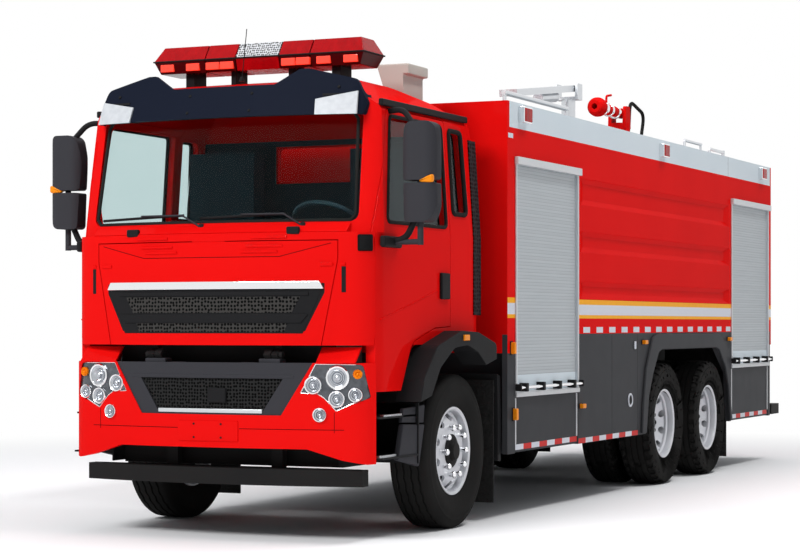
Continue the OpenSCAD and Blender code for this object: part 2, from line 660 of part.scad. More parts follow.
slat_bulge = 7;
module curtain(y0, y1, low) {
  top = shutter_top - shutter_bar * 1.5;
  bottom = low + shutter_bar;
  count = floor((top - bottom) / slat_pitch);
  pitch = (top - bottom) / count;
  back = body_half_w - shutter_in - 2 * slat_bulge;
  front_prism(y0 + shutter_bar, y1 - shutter_bar)
    polygon(concat([[back, bottom], [body_half_w - shutter_in - slat_bulge, bottom]],
    [for (i = [0:count - 1]) each [[body_half_w - shutter_in, bottom + pitch * (i + 0.3)],
      [body_half_w - shutter_in, bottom + pitch * (i + 0.7)],
      [body_half_w - shutter_in - slat_bulge, bottom + pitch * (i + 1)]]], [[back, top]]));
}
module roller_shutters() color([0.7, 0.73, 0.76]) from_axle() both_sides() {
  curtain(front_shutter_y, front_shutter_end, front_shutter_low);
  curtain(rear_shutter_y, rear_shutter_end, rear_shutter_low);
}

// Folding steps below the shutters, hinged at their lower edges
module flap(y0, y1, low) color([0.3, 0.31, 0.33]) from_axle() difference() {
  front_prism(y0 + door_gap, y1 - door_gap) polygon(outline([
    [flap_x - flap_sheet / 2, skirt_low + door_gap, flap_sheet * 0.49],
    [flap_x + flap_sheet / 2, skirt_low + door_gap, flap_sheet * 0.49],
    [flap_x + flap_sheet / 2, low - door_gap, 0], [flap_x - flap_sheet / 2, low - door_gap, 0]]));
  rod_y(flap_x, y0, y1, flap_rod_z, flap_rod_r + seat_gap);
}
module flap_front() flap(front_shutter_y, front_shutter_end, front_shutter_low);
module flap_rear() flap(rear_shutter_y, rear_shutter_end, rear_shutter_low);
module flap_front_left() flap_front();
module flap_front_right() mirror([1, 0, 0]) flap_front();
module flap_rear_left() flap_rear();
module flap_rear_right() mirror([1, 0, 0]) flap_rear();

// Lamps on the body: columns along and up as shares of the body's length and height
lamp_body_h = body_top - skirt_low;
red_lamp_shares = [[0.053, 0.969], [0.509, 0.969], [0.958, 0.969]];
amber_lamp_shares = [[0.211, 0.116], [0.425, 0.308], [0.782, 0.312]];
upright_lamp_shares = [[0.0095, 0.300], [0.0150, 0.112]];
red_lamp = [110, 90];
amber_lamp = [90, 36];
lamp_t = 22;
tail_x = 1050;
tail_w = 130;
tail_low = 1280;
tail_h = 420;
module lamp(long, tall) box(body_half_w, body_half_w + lamp_t, -long / 2, long / 2, -tall / 2, tall / 2);
module marker_lamps() color([0.9, 0.3, 0.05]) from_axle() {
  both_sides() for (s = red_lamp_shares)
    translate([0, body_front + s[0] * body_l, skirt_low + s[1] * lamp_body_h])
      lamp(red_lamp[0], red_lamp[1]);
  both_sides() for (s = amber_lamp_shares)
    translate([0, body_front + s[0] * body_l, skirt_low + s[1] * lamp_body_h])
      lamp(amber_lamp[0], amber_lamp[1]);
  both_sides() for (s = upright_lamp_shares)
    translate([0, body_front + s[0] * body_l, skirt_low + s[1] * lamp_body_h])
      lamp(amber_lamp[1], amber_lamp[0]);
  both_sides() box(tail_x, tail_x + tail_w, body_rear, body_rear + lamp_t, tail_low, tail_low + tail_h);
}

// Rear step and bumper
rear_step_low = 477;
rear_step_h = 104;
tow_pin_r = 26;
tow_pin_in = 90;
module rear_step() color([0.12, 0.12, 0.13]) from_axle() {
  difference() {
    box(-body_half_w, body_half_w, body_rear + overrun, rear_reach, rear_step_low,
      rear_step_low + rear_step_h);
    rod_z(0, rear_reach - tow_pin_in, rear_step_low - overrun, rear_step_low + rear_step_h + overrun,
      tow_pin_r);
  }
  both_sides() box(rail_x - rail_flange, rail_x, body_rear - overrun, body_rear + 4 * overrun,
    rear_step_low, rail_top - rail_t);
}

// Hand rails, rear ladder and the lamp mast's post, all on the roof deck
tube_r = 19;
bend_r = 17;
post_r = 15;
rail_tube_set = 160;
rail_tube_x = body_half_w - rail_tube_set;
rail_tube_y0 = 1050;
rail_tube_y1 = 2400;
rail_tube_z_rise = 217;
rail_tube_z = deck_z + rail_tube_z_rise;
ladder_x = 520;
ladder_half = 190;
ladder_rungs = 7;
ladder_off = 130;
ladder_low = 1210;
ladder_top_rise = 307;
ladder_top = deck_z + ladder_top_rise;
rungs_below_top = 185;
rungs_h = ladder_top - rungs_below_top - ladder_low;
hoop_set = 100;
hoop_x = body_half_w - hoop_set;
hoop_y0 = 5370;
hoop_y1 = 5910;
hoop_rise = 200;
hoop_r = 14;
hoop_post_r = 12;
mast_post_r = 60;
mast_hinge_y = 3800;
mast_hinge_z_rise = 537;
mast_hinge_z = deck_z + mast_hinge_z_rise;
mast_pin_r = 16;
mast_fork_t = 24;
mast_w = 150;
module rails_and_ladder() color([0.72, 0.74, 0.76]) from_axle() {
  // Hand rail at the front of the deck, on both sides
  both_sides() {
    rod_y(rail_tube_x, rail_tube_y0, rail_tube_y1, rail_tube_z, tube_r);
    for (y = [rail_tube_y0 + tube_r, rail_tube_y1 - tube_r])
      rod_z(rail_tube_x, y, deck_z, rail_tube_z, post_r);
  }
  // Low hoop beside the monitor
  both_sides() {
    rod_y(hoop_x, hoop_y0, hoop_y1, deck_z + hoop_rise, hoop_r);
    for (y = [hoop_y0 + hoop_r, hoop_y1 - hoop_r])
      rod_z(hoop_x, y, deck_z, deck_z + hoop_rise, hoop_post_r);
  }
  // Rear ladder, its stiles bent over the roof edge
  for (side = [-1, 1]) translate([ladder_x + side * ladder_half, body_rear, 0]) {
    rod_z(0, ladder_off, ladder_low, ladder_top + tube_r, tube_r);
    rod_y(0, -3 * ladder_off, ladder_off, ladder_top, bend_r);
    rod_z(0, -3 * ladder_off + tube_r, deck_z, ladder_top, post_r);
    rod_y(0, 0, ladder_off, ladder_low + 2 * tube_r, post_r);
  }
  for (i = [0:ladder_rungs - 1])
    rod_x(ladder_x - ladder_half, ladder_x + ladder_half, body_rear + ladder_off,
      ladder_low + rungs_h * (i + 0.5) / ladder_rungs, post_r);
  // Post and fork of the lamp mast
  rod_z(mast_x, mast_hinge_y, deck_z, mast_hinge_z - mast_w / 2, mast_post_r);
  box(mast_x - mast_w / 2 - mast_fork_t, mast_x + mast_w / 2 + mast_fork_t, mast_hinge_y - mast_post_r,
    mast_hinge_y + mast_post_r, mast_hinge_z - mast_w / 2 - mast_fork_t, mast_hinge_z - mast_w / 2);
  for (side = [-1, 1])
    translate([mast_x + side * (mast_w / 2 + mast_fork_t / 2 + door_gap) - mast_fork_t / 2, 0, 0])
    box(0, mast_fork_t, mast_hinge_y - mast_post_r, mast_hinge_y + mast_post_r,
      mast_hinge_z - mast_w / 2 - mast_fork_t, mast_hinge_z + mast_w / 4);
  rod_x(mast_x - mast_w / 2 - mast_fork_t, mast_x + mast_w / 2 + mast_fork_t, mast_hinge_y, mast_hinge_z,
    mast_pin_r);
}

// A lamp hangs under the mast between two shares of its length
mast_t = 55;
mast_lamp_r = 45;
mast_lamp_shares = [0.25, 0.53];
mast_lamp_drop = 0.7;
module mast_arm() color([0.7, 0.7, 0.7]) from_axle() translate([mast_x, mast_hinge_y, mast_hinge_z])
  rotate([mast_tilt, 0, 0]) difference() {
    union() {
      box(-mast_w / 2, mast_w / 2, -mast_l, 0, -mast_t / 2, mast_t / 2);
      rod_x(-mast_w / 2, mast_w / 2, 0, 0, mast_t / 2);
      rod_y(0, -mast_l * mast_lamp_shares[1], -mast_l * mast_lamp_shares[0],
        -mast_t / 2 - mast_lamp_r * mast_lamp_drop, mast_lamp_r);
    }
    rod_x(-mast_w, mast_w, 0, 0, mast_pin_r + seat_gap);
  }

// Water monitor: base on the deck, swivelling turret, lifting barrel
monitor_foot_r = 170;
monitor_foot_t = 24;
monitor_pipe_r = 62;
base_rise = 120;
turret_low = deck_z + monitor_foot_t + base_rise;
monitor_z = deck_z + monitor_h;
turret_r = 105;
turret_pin_r = 30;
barrel_r = 52;
nozzle_r = 95;
module monitor_base() color([0.75, 0.05, 0.04]) from_axle() {
  rod_z(0, monitor_y, deck_z, deck_z + monitor_foot_t, monitor_foot_r);
  rod_z(0, monitor_y, deck_z + monitor_foot_t / 2, turret_low, monitor_pipe_r * 1.3);
  rod_z(0, monitor_y, turret_low - monitor_foot_t, turret_low + monitor_foot_t * 3, turret_pin_r);
}
cheek_in = barrel_r + door_gap;
cheek_t = 34;
module monitor_turret() color([0.78, 0.05, 0.04]) from_axle() {
  difference() {
    rod_z(0, monitor_y, turret_low + seat_gap, monitor_z - barrel_r * 2, turret_r);
    rod_z(0, monitor_y, turret_low - overrun, turret_low + monitor_foot_t * 3 + seat_gap,
      turret_pin_r + seat_gap);
  }
  both_sides() side_prism(cheek_in, cheek_in + cheek_t) polygon(outline([
    [monitor_y - turret_r * 0.8, monitor_z - barrel_r * 3, 0],
    [monitor_y + turret_r * 0.8, monitor_z - barrel_r * 3, 0],
    [monitor_y + turret_r * 0.6, monitor_z + barrel_r * 1.2, barrel_r / 2],
    [monitor_y - turret_r * 0.6, monitor_z + barrel_r * 1.2, barrel_r / 2]]));
  rod_x(-cheek_in - cheek_t, cheek_in + cheek_t, monitor_y, monitor_z, turret_pin_r / 2);
}
// Turned barrel with a ball nozzle; columns: radius as a share of the nozzle's, place along the barrel
barrel_shares = [[0.30, 1], [0.62, 1], [0.78, 0.98], [0.95, 0.93], [1, 0.88], [0.95, 0.83], [0.78, 0.78],
  [0.55, 0.76],
  [0.55, 0.14], [0.55, 0], [0, 0], [0, 0.5], [0.30, 0.5]];
barrel_back = barrel_r * 1.2;
module monitor_barrel() color([0.72, 0.05, 0.04]) from_axle() difference() {
  translate([0, monitor_y + barrel_back, monitor_z]) rotate([90, 0, 0]) rotate_extrude()
    polygon([for (s = barrel_shares) [s[0] * nozzle_r, s[1] * (monitor_l + barrel_back)]]);
  rod_x(-barrel_r * 2, barrel_r * 2, monitor_y, monitor_z, turret_pin_r / 2 + seat_gap);
}

// Cab
cab_set = 5;
cab_front = cab_set - front_reach;
cab_round = 200;
shelf_z = 1985;
screen_set = 80;
roof_side_rise = 25;
roof_side_z = screen_top + roof_side_rise;
tumble_in = 52;
brow_y_set = 280;
brow_y = brow_y_set - front_reach;
brow_drop = 120;
brow_z = roof_z - brow_drop;
cab_corner = 150;
waist_z = 2000;

// Roof line and rear wall, [along, up, round]
function roof_line(inset, low) = [[cab_front - cab_long, low, 0], [cab_front - cab_long, brow_z - inset, 0],
  [brow_y, brow_z - inset, cab_corner], [brow_y + cab_long * 0.28, roof_z - inset, cab_long * 0.3],
  [cab_rear - cab_long * 0.2, roof_z - inset, cab_long * 0.1],
  [cab_rear - inset, screen_top - inset, cab_corner], [cab_rear - inset, low, 0]];
// Section across: upright to the waist, leaning in to the roof corners
function cab_section(inset, low) = both_ways([
  [cab_half_w - inset, low, 0],
  [cab_half_w - inset, waist_z, 0],
  [cab_half_w - tumble_in - inset, roof_side_z - inset, cab_corner / 2],
  [cab_half_w - tumble_in - 2.2 * cab_corner, roof_z - inset - overrun, cab_corner],
  [0, roof_z - inset, 0]]);

module lean_back(y, z) translate([0, y, z]) rotate([-screen_lean, 0, 0]) translate([0, -y, -z]) children();

// The whole form of the cab, shrunk by the inset, down to the given height
module cab_mass(inset, low) intersection() {
  union() {
    plan_prism(low, shelf_z - inset) polygon(bow_plan(cab_front, cab_half_w, cab_rear + overrun, cab_round,
      inset));
    lean_back(cab_front + screen_set, screen_low) plan_prism(shelf_z - inset - overrun, roof_z + cab_corner)
      polygon(bow_plan(cab_front + screen_set, cab_half_w + overrun, cab_rear + cab_long, cab_round,
        inset));
  }
  front_prism(cab_front - overrun, cab_rear + overrun) polygon(outline(cab_section(inset, low)));
  side_prism(-cab_half_w - overrun, cab_half_w + overrun) polygon(outline(roof_line(inset, low)));
}

// Door outline [along, up, round]
door_front_set = 210;
door_front = door_front_set - front_reach;
door_rear = -14;
door_rise = 20;
door_top = screen_top + door_rise;
flare_front = -815;
flare_low = 890;
flare_size = [1335, 476];
flare_out_shares = [[0, 0, 0], [0.045, 0.32, 0.1], [0.21, 0.76, 0.3], [0.52, 0.975, 0.4],
  [0.75, 0.95, 0.4], [1, 0.78, 0.1], [1, 0.55, 0]];
flare_in_shares = [[0.117, 0, 0], [0.25, 0.46, 0.3], [0.43, 0.73, 0.4], [0.6, 0.765, 0.4],
  [0.74, 0.66, 0.3], [0.85, 0.47, 0]];
flare_corners = spread([flare_front, flare_low], flare_size, flare_out_shares);
function door_corners(gap) = [
  [door_front - gap, door_low - gap, 0],
  [door_front - gap, shelf_z - cab_wall, 0],
  [door_front - gap + (door_top - shelf_z) * 0.27, door_top + gap, cab_wall],
  [door_rear + gap, door_top + gap, cab_wall / 2],
  [door_rear + gap, flare_low + flare_size[1] + 2 * door_gap - gap, 0],
  [flare_front + flare_size[0] * 0.4, flare_low + flare_size[1] * 0.98 + 2 * door_gap - gap, cab_corner],
  [flare_front + flare_size[0] * 0.12 + gap, flare_low + flare_size[1] * 0.78 + 2 * door_gap - gap, cab_corner],
  [flare_front - 3 * door_gap + gap, door_low - gap, 0]];
function window_corners(grow) = [
  [door_front + 2.6 * cab_wall - grow, screen_low - grow, cab_wall / 2],
  [door_front + 4.9 * cab_wall - grow, screen_top - cab_wall / 2 + grow, cab_wall],
  [door_rear - cab_wall + grow, screen_top - cab_wall / 2 + grow, cab_wall / 2],
  [door_rear - cab_wall + grow, screen_low - grow, cab_wall / 2]];
quarter_y0 = 40;
quarter_y1 = 290;
quarter_low = 2155;
quarter_top = 2730;
function quarter_corners(grow) = [
  [quarter_y0 - grow, quarter_low - grow, cab_wall / 2],
  [quarter_y0 - grow, quarter_top + grow, cab_wall / 2],
  [quarter_y1 - cab_wall / 2 + grow, quarter_top + grow, cab_wall],
  [quarter_y1 + grow, quarter_low - grow, cab_wall / 2]];
screen_half_low = 985;
screen_half_top = 965;
function screen_corners(grow) = both_ways([
  [screen_half_low + grow, screen_low - grow, cab_wall],
  [screen_half_top + grow, screen_top + grow, cab_wall]]);
back_half = 420;
back_low = 2430;
back_top = 2680;
function back_corners(grow) = both_ways([
  [back_half + grow, back_low - grow, cab_wall / 2],
  [back_half + grow, back_top + grow, cab_wall / 2]]);
lid_half_low = 774;
lid_half_top = 885;
lid_top = 1930;
lid_t = 45;
lid_shoulder = 1811;
function lid_corners(grow) = both_ways([[lid_half_low + grow, panel_low - overrun, 0],
  [lid_half_top + grow, lid_shoulder, 0], [lid_half_top + grow, lid_top + grow, 0]]);

module door_prism(gap) side_prism(cab_half_w - 3.2 * cab_wall, cab_half_w + 2 * overrun)
  polygon(outline(door_corners(gap)));
module cab_skin(t, low) difference() {
  cab_mass(0, low);
  cab_mass(t, low - overrun);
}

// Hinge rods in the gaps of the lid and the doors
hinge_rod_r = door_gap / 2 - seat_gap;
lid_hinge_half = 120;
door_hinge_in = 29;
door_hinge_low = 1300;
door_hinge_top = 1900;
module cab_hinges() {
  rod_x(-lid_hinge_half, lid_hinge_half, cab_front + hinge_rod_r, lid_top + door_gap / 2, hinge_rod_r);
  both_sides() rod_z(cab_half_w - door_hinge_in, door_front + door_gap / 2, door_hinge_low, door_hinge_top,
    hinge_rod_r);
}

module cab_shell() color([0.86, 0.04, 0.03]) from_axle() {
  cab_hinges();
  difference() {
    cab_mass(0, panel_low);
    difference() {
      cab_mass(cab_wall, panel_low - overrun);
      box(-cab_half_w, cab_half_w, cab_front, cab_rear, cab_floor, cab_floor + cab_wall);
    }
    both_sides() door_prism(0);
    front_prism(cab_front - overrun, cab_front + cab_long / 4) polygon(outline(screen_corners(0)));
    front_prism(cab_rear - cab_long / 4, cab_rear + overrun) polygon(outline(back_corners(0)));
    both_sides() side_prism(cab_half_w / 2, cab_half_w + overrun) polygon(outline(quarter_corners(0)));
    front_prism(cab_front - overrun, cab_front + cab_long / 8) polygon(outline(lid_corners(door_gap)));
    // Rear corners over the mudguards
    both_sides() side_prism(cab_half_w / 2, cab_half_w + overrun) polygon(outline(flare_corners));
  }
  // Pivot arms under the floor
  both_sides() difference() {
    side_prism(arm_x - arm_t + door_gap, arm_x) polygon([
      [pivot_y - pivot_boss, pivot_z],
      [pivot_y, pivot_z - pivot_boss],
      [pivot_y + pivot_boss, pivot_z],
      [pivot_y + 5 * pivot_boss, cab_floor],
      [pivot_y + 2 * pivot_boss, cab_floor],
      [pivot_y + pivot_boss / 2, pivot_z + pivot_boss]]);
    rod_x(0, cab_half_w, pivot_y, pivot_z, pivot_r + seat_gap);
  }
}

module door() color([0.86, 0.04, 0.03]) from_axle() difference() {
  intersection() {
    cab_skin(cab_wall, door_low - overrun);
    door_prism(-door_gap);
  }
  side_prism(cab_half_w / 2, cab_half_w + overrun) polygon(outline(window_corners(0)));
}
module door_left() door();
module door_right() mirror([1, 0, 0]) door();

// A pane in the middle of the wall
module pane() difference() {
  cab_mass(cab_wall / 2 - glass_t / 2, panel_low);
  cab_mass(cab_wall / 2 + glass_t / 2, panel_low - overrun);
}
module door_glass() color([0.2, 0.28, 0.3, 0.5]) from_axle() intersection() {
  pane();
  side_prism(cab_half_w / 2, cab_half_w + overrun) polygon(outline(window_corners(-seat_gap)));
}
module door_glass_left() door_glass();
module door_glass_right() mirror([1, 0, 0]) door_glass();
module cab_glass() color([0.2, 0.28, 0.3, 0.5]) from_axle() {
  intersection() {
    pane();
    front_prism(cab_front - overrun, cab_front + cab_long / 4) polygon(outline(screen_corners(-seat_gap)));
  }
  intersection() {
    pane();
    front_prism(cab_rear - cab_long / 4, cab_rear + overrun) polygon(outline(back_corners(-seat_gap)));
  }
  both_sides() intersection() {
    pane();
    side_prism(cab_half_w / 2, cab_half_w + overrun) polygon(outline(quarter_corners(-seat_gap)));
  }
}

// Service lid in the front, with the grille
grille_half_top = 803;
grille_half_low = 676;
grille_z0 = 1353;
grille_z1 = 1660;
function grille_corners(grow) = both_ways([
  [grille_half_low + grow, grille_z0 - grow, 0],
  [grille_half_top + grow, grille_z1 - overrun * 3, 0],
  [grille_half_top + grow, grille_z1 + grow, 0]]);
module front_lid() color([0.88, 0.04, 0.03]) from_axle() difference() {
  intersection() {
    cab_skin(lid_t, panel_low);
    front_prism(cab_front - overrun, cab_front + cab_long / 8) polygon(outline(lid_corners(0)));
  }
  front_prism(cab_front - overrun, cab_front + cab_long / 8) polygon(outline(grille_corners(0)));
}
upper_slats = 6;
slot_half = grille_half_low - grille_bar * 0.6;
slot_pitch = 40;
slot_h = 24;
module upper_grille() color([0.1, 0.1, 0.11]) from_axle() difference() {
  intersection() {
    cab_skin(lid_t, panel_low);
    front_prism(cab_front - overrun, cab_front + cab_long / 8) polygon(outline(grille_corners(-seat_gap)));
  }
  for (i = [0:upper_slats - 1]) intersection() {
    cab_mass(0, panel_low);
    front_prism(cab_front - overrun, cab_front + cab_long / 8) polygon(outline(both_ways([
      [slot_half + i * overrun / 2, grille_z0 + overrun + i * slot_pitch, 0],
      [slot_half + i * overrun / 2, grille_z0 + overrun + i * slot_pitch + slot_h, 0]])));
  }
}

// Dark sun visor over the windscreen
visor_lean = 20;
visor_t = 26;
visor_y_set = 110;
visor_y = visor_y_set - front_reach;
visor_low = 2742;
visor_top = 3054;
visor_half = 1000;
visor_shares = [[0.675, 0.01, 0], [0.985, 0, 0.05], [1, 0.25, 0.1], [0.93, 0.75, 0.2], [0.60, 1, 0.1],
  [0.54, 1, 0.1], [0.38, 0.68, 0.1]];
module visor_body(t0, t1) translate([0, visor_y, visor_low]) rotate([-visor_lean, 0, 0])
  translate([0, -visor_y, -visor_low])
  difference() {
    plan_prism(visor_low - visor_t * 2, visor_top + cab_corner)
      polygon(bow_plan(visor_y, visor_half, visor_y + cab_corner * 1.6, cab_round / 2, t0));
    plan_prism(visor_low - visor_t * 3, visor_top + cab_corner * 2)
      polygon(bow_plan(visor_y, visor_half, visor_y + cab_corner * 2, cab_round / 2, t1));
  }
module sun_visor() color([0.05, 0.06, 0.1]) from_axle() difference() {
  intersection() {
    visor_body(0, visor_t);
    front_prism(visor_y - overrun, visor_y + cab_corner * 3)
      polygon(outline(both_ways(spread([0, visor_low], [visor_half, visor_top - visor_low],
        visor_shares))));
  }
  cab_mass(0, panel_low);
}

// Warning light bar on two feet; its section leans in above and below the rim.
// Columns: along and up, as shares of its depth and height; the ends run past the outline's top and bottom
bar_y0_set = 670;
bar_y0 = bar_y0_set - front_reach;
bar_d = 330;
bar_low = 3120;
bar_foot_x = 560;
bar_foot = [120, 160];
bar_round = 60;
bar_shares = [[0.13, -0.2], [0, 0.45], [0.286, 1.2], [0.714, 1.2], [1, 0.45], [0.87, -0.2]];
module light_bar() color([0.75, 0.03, 0.03]) from_axle() {
  intersection() {
    front_prism(bar_y0 - overrun, bar_y0 + bar_d + overrun) polygon(outline(both_ways([
      [bar_half_l - bar_round, bar_low, bar_round / 3],
      [bar_half_l, bar_low + bar_h / 2, bar_round],
      [bar_half_l - bar_round * 0.7, bar_low + bar_h, bar_round / 2]])));
    side_prism(-bar_half_l - overrun, bar_half_l + overrun)
      polygon([for (s = bar_shares) [bar_y0 + s[0] * bar_d, bar_low + s[1] * bar_h]]);
  }
  both_sides() difference() {
    box(bar_foot_x - bar_foot[0] / 2, bar_foot_x + bar_foot[0] / 2, bar_y0 + bar_d / 2 - bar_foot[1] / 2,
      bar_y0 + bar_d / 2 + bar_foot[1] / 2, roof_z - cab_wall, bar_low);
    cab_mass(0, panel_low);
  }
}

// Small cooler behind the light bar: its inner flank is drawn in, its lid juts out on the outer side
cooler_in_x = 560;
cooler_out_x = 800;
cooler_foot = 90;
cooler_lip = 30;
cooler_lid = 75;
cooler_set = 40;
cooler_y0 = 0;
cooler_y1 = 345;
cooler_top = 3205;
module roof_cooler() color([0.72, 0.7, 0.66]) from_axle() difference() {
  front_prism(cooler_y0, cooler_y1) polygon([
    [cooler_in_x + cooler_foot, roof_z - cab_corner],
    [cooler_in_x, cooler_top - cooler_lip],
    [cooler_in_x, cooler_top],
    [cooler_out_x, cooler_top],
    [cooler_out_x, cooler_top - cooler_lid],
    [cooler_out_x - cooler_set, cooler_top - cooler_lid],
    [cooler_out_x - cooler_set, roof_z - cab_corner]]);
  cab_mass(0, panel_low);
}

// Air intake stack on the cab's rear wall, flush with the left flank
intake_low = 1460;
intake_top = 2690;
intake_l = 90;
intake_t = 70;
intake_lean = tumble_in * (intake_top - waist_z) / (roof_side_z - waist_z);
module air_intake() color([0.08, 0.08, 0.09]) from_axle()
  front_prism(cab_rear + seat_gap, cab_rear + intake_l) polygon([
    [cab_half_w - intake_t, intake_low],
    [cab_half_w, intake_low],
    [cab_half_w, waist_z],
    [cab_half_w - intake_lean, intake_top],
    [cab_half_w - intake_lean - intake_t, intake_top],
    [cab_half_w - intake_t, waist_z]]);

// Seats, dashboard and steering wheel
seat_x = 640;
seat_w = 520;
seat_l = 520;
seat_t = 160;
seat_z = 1900;
seat_y = -420;
seat_back_h = 720;
dash_l = 330;
dash_z = 2000;
dash_in = 185;
wheel_ring_r = 235;
wheel_tube_r = 17;
column_r = 34;
wheel_set = 640;
wheel_at = [560, wheel_set - front_reach, 2060];
wheel_lean = 35;
floor_top = cab_floor + cab_wall;
module cab_interior() color([0.16, 0.16, 0.17]) from_axle() {
  both_sides() {
    box(seat_x - seat_w / 2, seat_x + seat_w / 2, seat_y, seat_y + seat_l, seat_z - seat_t, seat_z);
    box(seat_x - seat_w / 2, seat_x + seat_w / 2, seat_y + seat_l - seat_t, seat_y + seat_l, seat_z,
      seat_z + seat_back_h);
    box(seat_x - seat_w / 3, seat_x + seat_w / 3, seat_y + seat_t / 2, seat_y + seat_l - seat_t / 2,
      floor_top, seat_z - seat_t);
  }
  intersection() {
    union() {
      box(-cab_half_w, cab_half_w, cab_front, cab_front + dash_l + 2 * cab_wall, dash_z - seat_t * 2,
        dash_z);
      box(-cab_half_w, cab_half_w, cab_front, cab_front + dash_l / 2 + 2 * cab_wall, floor_top,
        dash_z - seat_t);
    }
    cab_mass(cab_wall + overrun / 4, floor_top);
    box(-cab_half_w + dash_in, cab_half_w - dash_in, cab_front, cab_rear, floor_top, roof_z);
  }
  translate(wheel_at) rotate([-wheel_lean, 0, 0]) {
    rotate_extrude() translate([wheel_ring_r, 0]) circle(r = wheel_tube_r);
    box(-wheel_ring_r, wheel_ring_r, -wheel_tube_r, wheel_tube_r, -wheel_tube_r / 2, wheel_tube_r / 2);
    rod_z(0, 0, -dash_l, wheel_tube_r, column_r);
  }
}

// Flares over the front wheels
flare_reach = 130;
module cab_flares() color([0.2, 0.2, 0.22]) from_axle() both_sides() intersection() {
  side_prism(cab_half_w - cab_wall, cab_half_w + flare_reach) difference() {
    polygon(outline(flare_corners));
    polygon(outline(concat(spread([flare_front, flare_low], flare_size, flare_in_shares),
      [[flare_front + flare_size[0], flare_low + flare_size[1] * 0.3, 0],
        [flare_front + flare_size[0], flare_low - overrun, 0],
       [flare_front + flare_size[0] * 0.117, flare_low - overrun, 0]])));
  }
}

// Mirrors on the doors: two rounded heads on one post.
// Columns of the heads' outlines: across, up and round, as shares of a head's size
mirror_x0 = 1205;
mirror_x1 = 1450;
mirror_x = (mirror_x0 + mirror_x1) / 2;
mirror_y0_set = 340;
mirror_y0 = mirror_y0_set - front_reach;
mirror_d = 130;
mirror_y1 = mirror_y0 + mirror_d;
mirror_y = (mirror_y0 + mirror_y1) / 2;
mirror_low = 2050;
mirror_mid = 2300;
mirror_top = 2694;
mirror_round = 78;
mirror_arm_r = 20;
mirror_rod_r = 18;
mirror_base_z = 1925;
upper_head_shares = [[0.06, 0, 0.06], [0.98, 0, 0.07], [1, 0.55, 0.25], [0.94, 1, 0.15], [0.14, 1, 0.18],
  [0, 0.55, 0.2]];
lower_head_shares = [[0.10, 0, 0.12], [0.86, 0, 0.28], [1, 0.45, 0.2], [0.98, 1, 0.06], [0.06, 1, 0.06]];
module mirror_head(low, top, shares) intersection() {
  plan_prism(low - overrun, top + overrun) polygon(outline([
    [mirror_x0, mirror_y0, mirror_round],
    [mirror_x1, mirror_y0, mirror_round],
    [mirror_x1, mirror_y1, mirror_round / 6],
    [mirror_x0, mirror_y1, mirror_round / 6]]));
  front_prism(mirror_y0 - overrun, mirror_y1 + overrun)
    polygon(outline(spread([mirror_x0, low], [mirror_x1 - mirror_x0, top - low], shares)));
}
module mirror_set() color([0.07, 0.07, 0.08]) from_axle() {
  mirror_head(mirror_mid + 3 * door_gap, mirror_top, upper_head_shares);
  mirror_head(mirror_low, mirror_mid, lower_head_shares);
  rod_z(mirror_x, mirror_y, mirror_base_z - mirror_arm_r, mirror_top - overrun, mirror_arm_r);
  difference() {
    rod_x(cab_half_w - cab_wall, mirror_x, mirror_y, mirror_base_z, mirror_rod_r);
    cab_mass(0, panel_low);
  }
}
module mirror_left() mirror_set();
module mirror_right() mirror([1, 0, 0]) mirror_set();

chassis_frame();
engine_block();
axles();
front_bumper();
lower_grille();
headlamps();
underrun_bar();
cab_steps();
mud_flaps();
body_floor();
water_tank();
end_walls();
roof_deck();
parapets();
side_panels();
skirts();
wheel_arches();
shutter_frames();
roller_shutters();
marker_lamps();
rear_step();
rails_and_ladder();
monitor_base();
flap_front_left();
flap_front_right();
flap_rear_left();
flap_rear_right();
mast_arm();
monitor_turret();
monitor_barrel();
cab_shell();
cab_glass();
sun_visor();
light_bar();
roof_cooler();
air_intake();
cab_interior();
cab_flares();
front_lid();
upper_grille();
door_left();
door_right();
door_glass_left();
door_glass_right();
mirror_left();
mirror_right();
knuckle_left();
knuckle_right();
tyre_front_left();
tyre_front_right();
rim_front_left();
rim_front_right();
tyres_mid_left();
tyres_mid_right();
rims_mid_left();
rims_mid_right();
tyres_rear_left();
tyres_rear_right();
rims_rear_left();
rims_rear_right();
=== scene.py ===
# %% [markdown]
# # Dressing a fire truck
#
# The solid model already holds every panel, wheel and hinge at its real size. This lesson dresses it:
# it gives each surface a finish, rounds the edges of the pressed panels, and adds what is too fine for
# the solids, such as tread, lamps behind their lenses, wipers, tape stripes and roof gear.
#
# All sizes are metres. Places along the truck are counted from the front axle, rearwards positive, and
# the helper `at` turns them into the frame of the model.

